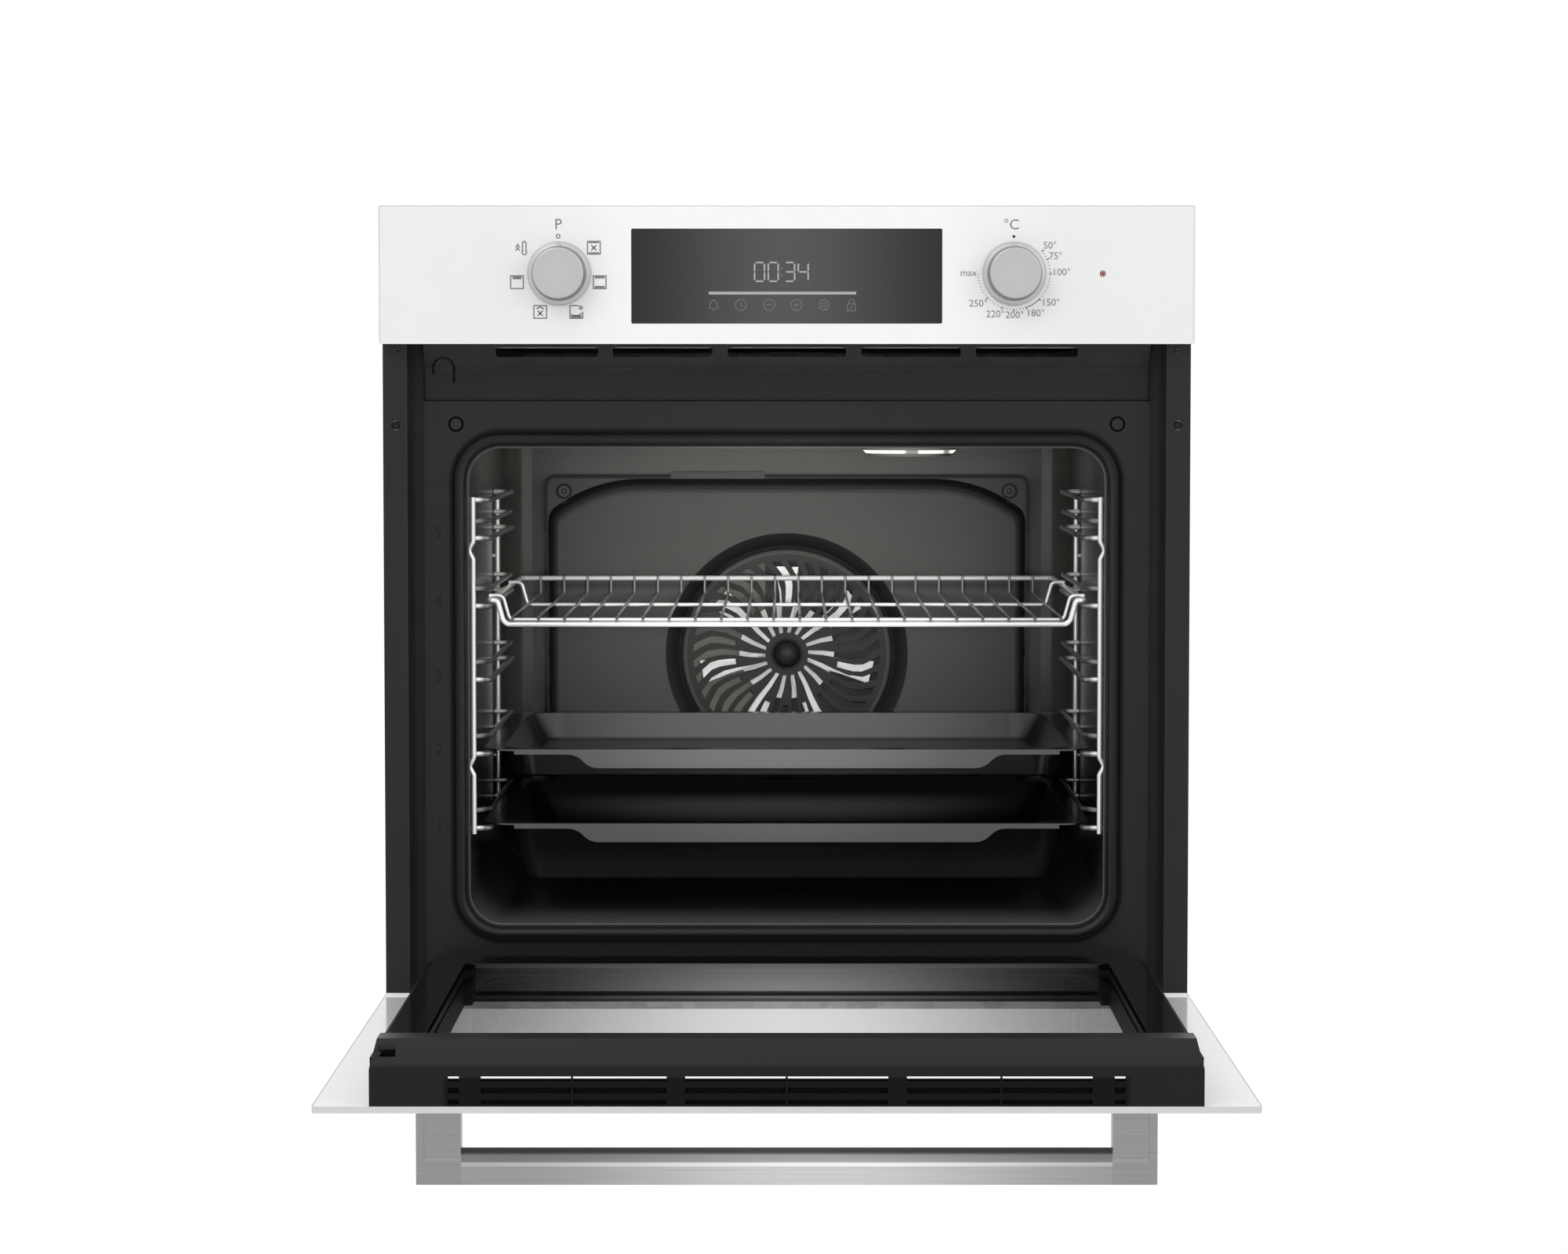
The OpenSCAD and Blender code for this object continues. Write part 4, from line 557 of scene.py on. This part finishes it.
oven_lamp = lamp("oven_lamp", "AREA", (0.0, -0.17, 0.42), (-0.02, 0.13, 0.27), 1.0)
oven_lamp.data.shape = "RECTANGLE"
oven_lamp.data.size = 0.3
oven_lamp.data.size_y = 0.08
oven_lamp.data.color = (1.0, 0.98, 0.94)
fan_spot = lamp("fan_spot", "SPOT", (0.0, -1.25, 0.345), (-0.01, 0.14, 0.27), 55.0)
fan_spot.data.spot_size = math.radians(21.0)
fan_spot.data.spot_blend = 1.0
fan_spot.data.shadow_soft_size = 0.03
for light in (oven_lamp, fan_spot):
    light.visible_camera = False
    light.visible_glossy = False

# ---------------------------------------------------------------------------------------
# Side racks and shelf: drawn steel wire, bent, welded and chrome plated as one piece. The
# racks hook into the cavity's walls and the shelf's ends rest on their rails.

CHROME = 0.93
RAILS_X = 225.0   # the rails lie inward of this, the posts outward
BAR_PITCH = 19.5
BAR_HALF = 1.05


def plated(name):
    """Bright chrome plate with fine drawing lines."""
    material, tree, shader = finish(name, CHROME, 0.16, Metallic=0.6)
    uneven(tree, noise(tree, 300.0, 3.0), shader, 0.00004)
    return material, tree, shader


# the rails and the shelf's thin bars mirror the dark cavity and look darker
chrome_wire, tree, shader = plated("chrome_wire")
feed(tree, bands(tree, off_middle(tree, "X"), 300.0,
                 [(0.0, 0.22), (RAILS_X, 0.22), (RAILS_X + 4.0, CHROME), (300.0, CHROME)]),
     shader.inputs["Base Color"])
dress(chrome_wire, "left_shelf_ladder", "right_shelf_ladder")

rack_chrome, tree, shader = plated("rack_chrome")
beside = calculated(tree, "PINGPONG", calculated(tree, "ADD", off_middle(tree, "X"),
                                                 BAR_PITCH / 2), BAR_PITCH / 2)
low_part = calculated(tree, "LESS_THAN", own_axis(tree, "Z"), box_mm("wire_rack")[0][2] + 3.5)
feed(tree, bands(tree, calculated(tree, "MULTIPLY_ADD", low_part, 50.0, beside), 10.0,
                 [(0.0, 0.34), (BAR_HALF, 0.34), (BAR_HALF + 0.2, CHROME), (10.0, CHROME)]),
     shader.inputs["Base Color"])
dress(rack_chrome, "wire_rack")

# ---------------------------------------------------------------------------------------
# Baking tray and deep tray: drawn steel under gloss black enamel, with painted light on
# the front lip and on the basin's rear wall, which are made lighter.

for name, painted_rear_light, tray in (("baking_enamel", 0.085, "baking_tray"),
                              ("roasting_enamel", 0.09, "deep_tray")):
    tray_enamel, tree, shader = enamel(name, 0.014, 0.01, 0.22)
    # painted light: lighter on the front lip and on the basin's rear wall
    along = calculated(tree, "ADD", own_axis(tree, "Y"), 260.0)
    feed(tree, bands(tree, along, 400.0,
                     [(0.0, 0.085), (10.9, 0.085), (11.4, 0.008), (345.0, 0.008),
                      (352.0, painted_rear_light), (360.5, painted_rear_light), (361.2, 0.008)]),
         shader.inputs["Base Color"])
    dress(tray_enamel, tray)

# ---------------------------------------------------------------------------------------
# Door: three panes in a black sheet body. The outer pane is printed white round its window
# and backed with black inside the body, and the inner pane is printed black.

PRINT = 0.12      # thickness of a print on glass
PRINT_GAP = 0.01
WINDOW_WIDTH = 468.0
WINDOW_Y = (-690.0, -323.0)
SIGHT_Y = (-667.4, -337.4)   # the inner pane's clear part
BODY_HALF = 261.0


def side_fall(tree, reach, shift=0.0):
    """A value that falls smoothly from 1 at X = shift to 0 at the reach either side."""
    return ranged(tree, off_middle(tree, "X", shift), reach, 0.0, kind="SMOOTHSTEP")


def rounded_loop(width, height, radius, middle, steps=8):
    """Points of a rounded rectangle round (0, middle): four quarter arcs of the radius
    round the corners' centres, joined by the straight sides, anticlockwise from the right."""
    quarter = np.linspace(0.0, math.pi / 2, steps)
    corners = np.array([(1, 1), (-1, 1), (-1, -1), (1, -1)], float)
    centres = corners * (width / 2 - radius, height / 2 - radius) + (0.0, middle)
    angles = quarter[None, :] + np.arange(4)[:, None] * math.pi / 2
    arcs = np.stack([np.cos(angles), np.sin(angles)], axis=-1) * radius
    return (centres[:, None, :] + arcs).reshape(-1, 2)


def printed_border(name, outer, inner, low, high, material):
    """A thin layer between two loops: the section low-high is carried round both loops."""
    rings = [np.column_stack([loop, np.full(len(loop), level)])
             for loop, level in ((outer, low), (inner, low), (inner, high), (outer, high))]
    return piece(name, np.concatenate(rings), grid_faces(4, len(outer), True, True)[:, ::-1],
                 material, "door")


def door_strip(name, half_x, y, z, material):
    """A flat bar of the door between the pairs of y and z, closed all round."""
    points = [(x, at, up) for at in y for x, up in ((-half_x, z[0]), (half_x, z[0]),
                                                    (half_x, z[1]), (-half_x, z[1]))]
    return piece(name, points, [(0, 1, 2, 3), (7, 6, 5, 4), (0, 4, 5, 1), (1, 5, 6, 2),
                                (2, 6, 7, 3), (3, 7, 4, 0)], material, "door")


clear_glass, tree, shader = finish("clear_glass", 0.985, 0.0, IOR=1.02,
                                   Transmission_Weight=1.0)
dress(clear_glass, "door_outer_glass", "door_inner_glass")
# the middle pane has a heat-reflecting coat; its tint, clear in the middle and darker towards
# the sides, is painted light on the view through the window
coated_glass, tree, shader = finish("coated_glass", 0.9, 0.0, IOR=1.02,
                                    Transmission_Weight=1.0)
feed(tree, mixed(tree, side_fall(tree, 240.0), 0.3, 0.97), shader.inputs["Base Color"])
dress(coated_glass, "door_middle_glass")

white_print, tree, shader = finish("white_print", 0.86, 0.12)
feed(tree, mixed(tree, noise(tree, 25.0), 0.85, 0.87), shader.inputs["Base Color"])
black_print, tree, shader = finish("black_print", 0.006, 0.1)
feed(tree, mixed(tree, noise(tree, 25.0), 0.005, 0.007), shader.inputs["Base Color"])
# painted light: inside the body the print's back glows grey in the middle, standing for the
# room's light
print_back, tree, shader = finish("print_back", 0.03, 0.3, Emission_Strength=0.9)
feed(tree, mixed(tree, side_fall(tree, 240.0), 0.03, (0.13, 0.13, 0.127)),
     shader.inputs["Emission Color"])
ground_edge, tree, shader = finish("ground_edge", (0.62, 0.63, 0.63), 0.3)
uneven(tree, noise(tree, 900.0), shader, 0.00002)

glass_low, glass_high = box_mm("door_outer_glass")
inner_low, inner_high = box_mm("door_inner_glass")
glass_w, glass_l = (glass_high - glass_low)[:2]
glass_y = (glass_low[1] + glass_high[1]) / 2
glass_front, glass_back = glass_low[2], glass_high[2]
white_loop = rounded_loop(glass_w - 0.6, glass_l - 0.6, 2.3, glass_y)
window_loop = rounded_loop(WINDOW_WIDTH, WINDOW_Y[1] - WINDOW_Y[0], 1.0, sum(WINDOW_Y) / 2)
printed_border("outer_pane_print", white_loop, window_loop, glass_front - PRINT,
               glass_front - PRINT_GAP, white_print)
printed_border("outer_pane_backing", rounded_loop(2 * BODY_HALF, glass_l - 34.0, 4.0, glass_y),
               window_loop, glass_back + PRINT_GAP, glass_back + PRINT, print_back)
printed_border("outer_pane_margin", white_loop,
               rounded_loop(2 * BODY_HALF + 0.4, glass_l - 33.6, 4.0, glass_y),
               glass_back + PRINT_GAP, glass_back + PRINT, white_print)
printed_border("outer_pane_edge", rounded_loop(glass_w + 0.24, glass_l + 0.24, 2.7, glass_y),
               rounded_loop(glass_w + 0.02, glass_l + 0.02, 2.6, glass_y),
               glass_front - PRINT, glass_back + PRINT, ground_edge)
inner_w, inner_l = (inner_high - inner_low)[:2]
inner_y = (inner_low[1] + inner_high[1]) / 2
printed_border("inner_pane_print", rounded_loop(inner_w - 0.4, inner_l - 0.4, 3.0, inner_y),
               rounded_loop(WINDOW_WIDTH, SIGHT_Y[1] - SIGHT_Y[0], 1.0, sum(SIGHT_Y) / 2),
               inner_high[2] + PRINT_GAP, inner_high[2] + PRINT, black_print)

dress(speckled("body_black", 0.004, 0.0025, 0.5, 600.0, 0.00003, Specular_IOR_Level=0.15)[0],
      "left_door_profile", "right_door_profile", "door_bottom_rail")
# painted light: a glowing strip on the bottom rail's hollow side stands for the room's light
# that reaches it between the panes; it is brightest in the middle and fainter higher up
painted_rail_light, tree, shader = speckled("painted_rail_light", 0.06, 0.05, 0.4, 600.0, 0.00003,
                                   Emission_Strength=1.0)
feed(tree, mixed(tree, side_fall(tree, 270.0), (0.02, 0.02, 0.019), (0.25, 0.247, 0.24)),
     shader.inputs["Emission Color"])
toned(tree, shader.inputs["Emission Color"], own_axis(tree, "Z"), 60.0,
      [(0.0, 1.0), (24.0, 1.0), (36.0, 0.6), (45.0, 0.3), (60.0, 0.3)])
door_strip("painted_rail_light", 232.5, (-299.3, -299.0), (20.4, 43.7), painted_rail_light)

# painted light and shade on the top trim: darker low down and lighter higher up, and painted
# shade in and between its louvres, which end at LOUVRES_X and LOUVRES_Z
LOUVRES_X = 213.0
LOUVRES_Z = 37.0
trim_black, tree, shader = speckled("trim_black", 0.014, 0.011, 0.32, 900.0, 0.00002)
base = shader.inputs["Base Color"]
feed(tree, bands(tree, own_axis(tree, "Z"), 80.0,
                 [(0.0, 0.004), (44.0, 0.004), (45.5, 0.013), (80.0, 0.02)]), base)
above = calculated(tree, "GREATER_THAN", own_axis(tree, "Z"), LOUVRES_Z)
louvres = calculated(tree, "MULTIPLY_ADD", above, 300.0, off_middle(tree, "X"))
toned(tree, base, louvres, 300.0,
      [(0.0, 0.4), (LOUVRES_X, 0.4), (LOUVRES_X + 2.0, 1.0), (300.0, 1.0)])
feed(tree, bands(tree, louvres, 300.0, [(0.0, 0.12), (LOUVRES_X, 0.12),
                                        (LOUVRES_X + 2.0, 0.22), (300.0, 0.22)]),
     shader.inputs["Specular IOR Level"])
dress(trim_black, "door_top_trim")

# painted shade: a black sheet with a fine checker behind the lower louvres stands for the
# shade inside them
louvre_shade_black, tree, shader = finish("louvre_shade_black", 0.004, 0.8, Specular_IOR_Level=0.1)
fine_checker = tree.nodes.new("ShaderNodeTexChecker")
for key, value in (("Vector", own_place(tree)), ("Scale", 900.0), ("Color1", 0.006),
                   ("Color2", 0.002)):
    feed(tree, value, fine_checker.inputs[key])
feed(tree, fine_checker.outputs["Color"], shader.inputs["Base Color"])
trim_y, trim_z = box_mm("door_top_trim")[0][1:]
door_strip("louvre_shade_sheet", LOUVRES_X, (trim_y + 3.0, trim_y + 3.5),
           (trim_z + 0.3, trim_z + 17.3), louvre_shade_black)

# ---------------------------------------------------------------------------------------
# Handle: a stainless bar between two sawn brackets, screwed to the door through the outer
# pane and brushed along its length.

BAR_HALF_X = 204.2
BAR_FOOT_Z = -33.4

brush_lines, inside, outside = effect("brush_lines", {"Length": 12.0, "Across": 2600.0},
                                      ("Tone",))
pull = brush_lines.nodes.new("ShaderNodeCombineXYZ")
stretch = brush_lines.nodes.new("ShaderNodeVectorMath")
stretch.operation = "MULTIPLY"
lines = brush_lines.nodes.new("ShaderNodeTexNoise")
for value, socket in (
    (inside.outputs["Length"], pull.inputs["X"]),
    (inside.outputs["Across"], pull.inputs["Y"]),
    (inside.outputs["Across"], pull.inputs["Z"]),
    (own_place(brush_lines), stretch.inputs[0]),
    (pull.outputs["Vector"], stretch.inputs[1]),
    (stretch.outputs["Vector"], lines.inputs["Vector"]),
    (1.0, lines.inputs["Scale"]),
    (4.0, lines.inputs["Detail"]),
    (lines.outputs["Fac"], outside.inputs["Tone"]),
):
    feed(brush_lines, value, socket)

brushed, tree, shader = finish("brushed_handle", (0.5, 0.5, 0.49), 0.3, Metallic=1.0,
                               Anisotropic=0.6)
lines = place_effect(tree, brush_lines).outputs["Tone"]
uneven(tree, lines, shader, 0.00003)
# painted light on the bar: painted shade on its far edge, a grey bevel, a painted highlight on
# its ridge, and a painted sheen brightest near its middle, over the brushing's grain
above_foot = calculated(tree, "SUBTRACT", own_axis(tree, "Z"), BAR_FOOT_Z)
bar = bands(tree, above_foot, 30.0,
            [(0.0, 0.34), (12.5, 0.34), (13.2, 0.5), (15.0, 0.5), (15.8, 0.2), (20.0, 0.17),
             (21.2, 0.03), (30.0, 0.02)])
bracket = calculated(tree, "GREATER_THAN", off_middle(tree, "X"), BAR_HALF_X)
grain_and_painted_sheen = calculated(tree, "MULTIPLY", ranged(tree, lines, 0.0, 1.0, 0.75, 1.25),
                    ranged(tree, side_fall(tree, 200.0, 20.0), 0.0, 1.0, 1.0, 1.9))
feed(tree, calculated(tree, "MULTIPLY", mixed(tree, bracket, bar, 0.31), grain_and_painted_sheen),
     shader.inputs["Base Color"])
dress(brushed, "handle_bar", "left_handle_bracket", "right_handle_bracket")

# ---------------------------------------------------------------------------------------
# Control panel: folded sheet under gloss white paint, with grey printed scales. The side
# flanges' rubber bushes and plugs and the frame's pressed shelf numbers are made here too.

KNOBS = (165.5, 550.5)   # the knobs' axes, X to either side and Z
LENS = (230.0, 550.5)
INK_LIFT = 0.08          # a print stands this far before its surface
SCALE_R = 26.1
FRAME_Y = -261.0
PANEL_SHADE_Z = 590.0    # the shade along the top edge is measured from here

white_paint, tree, shader = enamel("white_paint", 0.85, 0.83, 0.22)
base = shader.inputs["Base Color"]
panel_low, panel_high = box_mm("control_panel")
panel_end = panel_high[0]
# painted light: the panel is a little lighter in the middle; painted shade darkens its ends
# and its top edge
toned(tree, base, off_middle(tree, "X"), 300.0,
      [(0.0, 1.1), (110.0, 1.1), (215.0, 1.0), (panel_end - 1.0, 1.0),
       (panel_end - 0.2, 0.7), (300.0, 0.6)])
toned(tree, base, calculated(tree, "SUBTRACT", own_axis(tree, "Z"), PANEL_SHADE_Z), 12.0,
      [(0.0, 1.0), (8.9, 1.0), (9.3, 0.8), (12.0, 0.8)])
dress(white_paint, "control_panel")


def ribbon(points, width, closed=False):
    """A line as a flat strip: at each point the strip's edges lie half a width to the left
    and right, along the mean normal of the two segments that meet there."""
    points = np.asarray(points, float)
    ahead = np.roll(points, -1, axis=0) - points
    behind = points - np.roll(points, 1, axis=0)
    if not closed:
        ahead[-1], behind[0] = behind[-1], ahead[0]
    ahead /= np.linalg.norm(ahead, axis=1)[:, None]
    behind /= np.linalg.norm(behind, axis=1)[:, None]
    normal = np.stack([-(ahead + behind)[:, 1], (ahead + behind)[:, 0]], axis=1)
    normal /= np.maximum(np.sum(normal * np.stack([-ahead[:, 1], ahead[:, 0]], axis=1),
                                axis=1), 0.6)[:, None]
    edges = np.concatenate([points + normal * width / 2, points - normal * width / 2])
    count = len(points)
    index = np.arange(count if closed else count - 1)
    following = (index + 1) % count
    quads = np.stack([index + count, following + count, following, index], axis=1)
    return edges, quads


def circle(x, z, radius, start=0.0, end=360.0, steps=32):
    """Points at equal angles on an arc round (x, z), angles in degrees anticlockwise."""
    turn = np.radians(np.linspace(start, end, steps))
    return np.column_stack([x + radius * np.cos(turn), z + radius * np.sin(turn)])


def stroke(width, *points):
    """An open line of a width through the points."""
    return points, width, False


def hoop(width, x, z, radius, steps=32):
    """A closed round line of a width."""
    return circle(x, z, radius, steps=steps)[:-1], width, True


def printed(name, lines, x, z, y, material, slot):
    """Ribbons (points, width, closed) set round (x, z), printed on a plane that faces -Y."""
    points, faces, base = [], [], 0
    for line, width, closed in lines:
        edges, quads = ribbon(line, width, closed)
        points.append(edges + (x, z))
        faces.append(quads + base)
        base += len(edges)
    flat = np.concatenate(points)
    solid = np.column_stack([flat[:, 0], np.full(len(flat), y), flat[:, 1]])
    return piece(name, solid, np.concatenate(faces), material, "oven")


def lettered(name, words, size, x, z, y, material, slot):
    """Words as a flat mesh centred on (x, z), on a plane that faces -Y."""
    curve = bpy.data.curves.new(name, "FONT")
    curve.body = words
    curve.size = size
    curve.align_x = "CENTER"
    curve.align_y = "CENTER"
    curve.resolution_u = 3
    holder = bpy.data.objects.new(name + "_curve", curve)
    scene.collection.objects.link(holder)
    bpy.context.view_layer.update()
    mesh = bpy.data.meshes.new_from_object(holder.evaluated_get(
        bpy.context.evaluated_depsgraph_get()))
    bpy.data.objects.remove(holder)
    flat = np.array([v.co for v in mesh.vertices])
    faces = [tuple(p.vertices) for p in mesh.polygons]
    solid = np.column_stack([flat[:, 0] + x, np.full(len(flat), y), flat[:, 1] + z])
    return piece(name, solid, faces, material, "oven")


def turned(name, profile, x, z, y, material, steps):
    """A surface of revolution round the axis along Y through (x, z): a profile point (r, s)
    runs round as (x + r cos t, y + s, z + r sin t)."""
    turn = np.linspace(0.0, 2 * math.pi, steps, endpoint=False)
    r, along = np.asarray(profile, float).T
    grid = np.stack([x + r[:, None] * np.cos(turn), y + along[:, None] + 0 * turn,
                     z + r[:, None] * np.sin(turn)], axis=-1)
    return piece(name, grid.reshape(-1, 3), grid_faces(len(profile), steps, False, True),
                 material, "oven")


# Rubber bushes and blind plugs in the side flanges' holes, and pressed shelf numbers
bush_rubber, tree, shader = speckled("bush_rubber", 0.012, 0.009, 0.5, 900.0, 0.00003,
                                     Specular_IOR_Level=0.2)
bush = [(0.05, 0), (2.3, 0), (2.6, 0.9), (3.0, 0.9), (3.05, -0.3), (3.3, -0.3), (3.3, 3),
        (0.05, 3)]
plug = [(0.05, 0.2), (1.2, 0.2), (1.55, 0.5), (1.55, 3), (0.05, 3)]
flange_y = box_mm("left_side_trim")[0][1] + 0.5
for side, word in ((-1, "left"), (1, "right")):
    turned(word + "_bush", bush, side * 287.0, 440.0, flange_y, bush_rubber,
           40)
    turned(word + "_plug", plug, side * 286.0, 494.2, flange_y, bush_rubber,
           24)
# painted shade: the pressed numbers are flat letters in a darker enamel, standing for the
# shade of their relief
number_enamel, tree, shader = enamel("number_enamel", 0.006, 0.004, 0.5,
                                     Specular_IOR_Level=0.25)
for level, z in enumerate((141.3, 198.6, 253.6, 309.5, 360.2), start=1):
    lettered("shelf_number_%d" % level, str(level), 13.0, -258.3, z, FRAME_Y - INK_LIFT,
             number_enamel, "frame_enamel")

# Function symbols round the left knob, drawn in a box of 9.2 mm
grey_ink, tree, shader = finish("grey_ink", (0.2, 0.21, 0.21), 0.5)
dark_ink, tree, shader = finish("dark_ink", 0.02, 0.5)
ink_y = panel_low[1] - INK_LIFT
in_grey = (ink_y, grey_ink, "white_panel")
box = ([(-4.6, -4.6), (4.6, -4.6), (4.6, 4.6), (-4.6, 4.6)], 0.9, True)
symbols = {
    "fan_symbol": (-140.3, 569.3, [
        box, stroke(1.0, (-1.9, -1.9), (1.9, 1.9)), stroke(1.0, (-1.9, 1.9), (1.9, -1.9)),
        stroke(0.9, (-3.6, 3.7), (3.6, 3.7)), stroke(0.9, (-3.6, -3.7), (3.6, -3.7))]),
    "both_heats_symbol": (-136.1, 544.3, [
        box, stroke(1.4, (-3.6, 3.4), (3.6, 3.4)), stroke(1.4, (-3.6, -3.4), (3.6, -3.4))]),
    "steam_clean_symbol": (-153.2, 522.7, [
        stroke(0.9, (2.0, 4.6), (-4.6, 4.6), (-4.6, -4.6), (4.6, -4.6), (4.6, 0.2)),
        stroke(1.0, (-3.8, -2.0), (-1.5, -2.6), (1.5, -2.6), (3.8, -1.2)),
        stroke(1.6, (-3.8, -3.4), (3.8, -3.4)), hoop(1.0, 3.4, 3.0, 1.0, 10)]),
    "grill_fan_symbol": (-179.5, 522.7, [
        box, stroke(1.0, (-1.9, -2.9), (1.9, 0.9)), stroke(1.0, (-1.9, 0.9), (1.9, -2.9)),
        stroke(1.1, (-2.6, 2.3), (0.0, 3.6), (2.6, 2.3))]),
    "grill_symbol": (-196.3, 544.3, [box, stroke(2.0, (-3.2, 3.1), (3.2, 3.1))]),
    "heat_up_symbol": (-191.3, 569.3, [
        stroke(0.9, (-5.9, 0.2), (-4.4, 2.4), (-2.9, 0.2)),
        stroke(0.9, (-5.9, -2.2), (-4.4, 0.0), (-2.9, -2.2)),
        stroke(0.9, *circle(0.4, -3.4, 1.6, 115, 425, 20)),
        stroke(0.9, (-0.9, -2.0), (-0.9, 3.6), (0.4, 4.8), (1.7, 3.6), (1.7, -2.0))]),
    "off_symbol": (-166.2, 577.6, [hoop(0.8, 0, 0, 1.35, 16)]),
}
for name, (x, z, lines) in symbols.items():
    printed(name, lines, x, z, *in_grey)
lettered("programme_letter", "P", 11.0, -166.2, 586.0, *in_grey)

# Temperature scale round the right knob: words, dots, a line from 150 to 180 and dashes
lettered("degree_letter", "°C", 10.5, 163.4, 585.8, *in_grey)
printed("zero_dot", [hoop(1.1, 0, 0, 0.55, 12)], 165.2, 577.4, ink_y, dark_ink, "white_panel")
for words, x, z in (("50°", 191.5, 570.8), ("75°", 195.6, 563.2), ("100°", 199.8, 551.4),
                    ("150°", 192.1, 529.4), ("180°", 181.1, 521.7), ("200°", 165.9, 520.3),
                    ("220°", 151.8, 521.0), ("250°", 139.4, 528.7), ("max", 132.2, 551.0)):
    lettered("dial_" + words.strip("°"), words, 7.2, x, z, *in_grey)
dots = [stroke(0.6, *circle(0, 0, SCALE_R, -69.0, -46.0))]
for turn in np.radians(90.0 - np.arange(51.0, 271.0, 5.2)):
    dots.append(hoop(0.44, SCALE_R * math.cos(turn), SCALE_R * math.sin(turn), 0.22, 7))
for turn in np.radians((51.2, 66.4, 90.0, 135.4, 160.0, 180.0, 199.5, 228.0)):
    out = np.array([math.sin(turn), math.cos(turn)])
    dots.append(stroke(0.8, out * (SCALE_R - 0.5), out * (SCALE_R + 1.5)))
printed("dial_dots", dots, *KNOBS, *in_grey)

lens_red, tree, shader = finish("lens_red", (0.35, 0.06, 0.04), 0.2)
feed(tree, bands(tree, axis_distance(tree, *LENS), 4.0,
                 [(0.0, (0.05, 0.008, 0.006)), (0.7, (0.05, 0.008, 0.006)),
                  (0.95, (0.5, 0.2, 0.17)), (1.6, (0.5, 0.2, 0.17)),
                  (1.85, (0.06, 0.012, 0.01))]), shader.inputs["Base Color"])
dress(lens_red, "indicator_lens")

# ---------------------------------------------------------------------------------------
# Display: a smoked pane let into the panel in front of the timer's board. The clock's
# segment digits, a light bar and six touch marks stand on it.

DIGIT_HEIGHT = 13.6
DIGIT_WIDTH = 7.2
DIGIT_FOOT_Z = 545.0
BAR_Z = 536.4
MARK_Z = 527.8

smoked, tree, shader = finish("smoked_pane", 0.06, 0.12, Specular_IOR_Level=0.15)
# painted reflection: the pane is lighter in the middle and darker towards the sides
feed(tree, mixed(tree, side_fall(tree, 125.0), (0.026, 0.026, 0.025), (0.088, 0.088, 0.085)),
     shader.inputs["Base Color"])
dress(smoked, "display_window")

window_y = box_mm("display_window")[0][1] - INK_LIFT
lit_ink, tree, shader = finish("lit_ink", 0.42, 0.5)
mark_ink, tree, shader = finish("mark_ink", 0.17, 0.5)
segments = {
    "a": ((0.12, 1.0), (0.88, 1.0)), "b": ((1.0, 0.94), (1.0, 0.53)),
    "c": ((1.0, 0.47), (1.0, 0.06)), "d": ((0.12, 0.0), (0.88, 0.0)),
    "e": ((0.0, 0.06), (0.0, 0.47)), "f": ((0.0, 0.53), (0.0, 0.94)),
    "g": ((0.12, 0.5), (0.88, 0.5)),
}
digits = [stroke(1.1, *[(left + u * DIGIT_WIDTH, DIGIT_FOOT_Z + v * DIGIT_HEIGHT)
                        for u, v in segments[key]])
          for left, lit in ((-23.4, "abcdef"), (-13.4, "abcdef"), (-1.5, "abgcd"),
                            (8.4, "fgbc"))
          for key in lit]
digits += [hoop(0.4, -3.6, z, 0.22, 8) for z in (549.4, 554.4)]
printed("clock_digits", digits, 0, 0, window_y, lit_ink, "display_glass")
printed("light_bar", [stroke(2.0, (-56.8, BAR_Z), (50.5, BAR_Z))], 0, 0, window_y, lit_ink,
        "display_glass")

ring = hoop(0.55, 0, 0, 4.0)
level_line = stroke(0.6, (-1.8, 0), (1.8, 0))
gear_turn = np.linspace(0, 2 * math.pi, 64, endpoint=False)
gear_r = 3.9 - 0.5 * (np.sin(8 * gear_turn) > 0)
touch = {
    "bell_mark": [([(-3.6, -2.6), (-2.6, -1.4), (-2.4, 1.4), (-1.2, 3.1), (0, 3.6),
                    (1.2, 3.1), (2.4, 1.4), (2.6, -1.4), (3.6, -2.6)], 0.6, True),
                  stroke(0.5, *circle(0, -3.0, 0.9, 200, 340, 8))],
    "clock_mark": [ring, stroke(0.5, (0, 1.8), (0, 0), (1.2, -1.4))],
    "minus_mark": [ring, level_line],
    "plus_mark": [ring, level_line, stroke(0.6, (0, -1.8), (0, 1.8))],
    "gear_mark": [(np.column_stack([gear_r * np.cos(gear_turn), gear_r * np.sin(gear_turn)]),
                   0.5, True), hoop(0.5, 0, 0, 1.5, 20)],
    "lock_mark": [([(-2.9, -4.2), (2.9, -4.2), (2.9, 0.8), (-2.9, 0.8)], 0.6, True),
                  stroke(0.5, (-1.8, 0.9), *circle(0, 2.3, 1.8, 180, 0, 12), (1.8, 0.9)),
                  stroke(0.8, (0, -2.6), (0, -0.9))],
}
for x, (name, lines) in zip((-53.3, -33.4, -12.8, 7.1, 27.1, 47.1), touch.items()):
    printed(name, lines, x, MARK_Z, window_y, mark_ink, "display_glass")

# ---------------------------------------------------------------------------------------
# Knobs: turned metal, each with a flat skirt, a slightly tapered grip and a raised pointer,
# satin spun on its face and pushed on its switch's shaft.

knob_satin, tree, shader = finish("knob_satin", (0.52, 0.52, 0.51), 0.38, Metallic=0.3)
# painted shade on a ring at the face's edge, and a painted highlight on the skirt beyond it
feed(tree, bands(tree, axis_distance(tree, *KNOBS), 30.0,
                 [(0.0, 0.52), (18.2, 0.5), (18.7, 0.18), (19.7, 0.18), (20.1, 0.6),
                  (20.9, 0.56), (23.0, 0.5)]), shader.inputs["Base Color"])
dress(knob_satin, "function_knob", "temperature_knob")
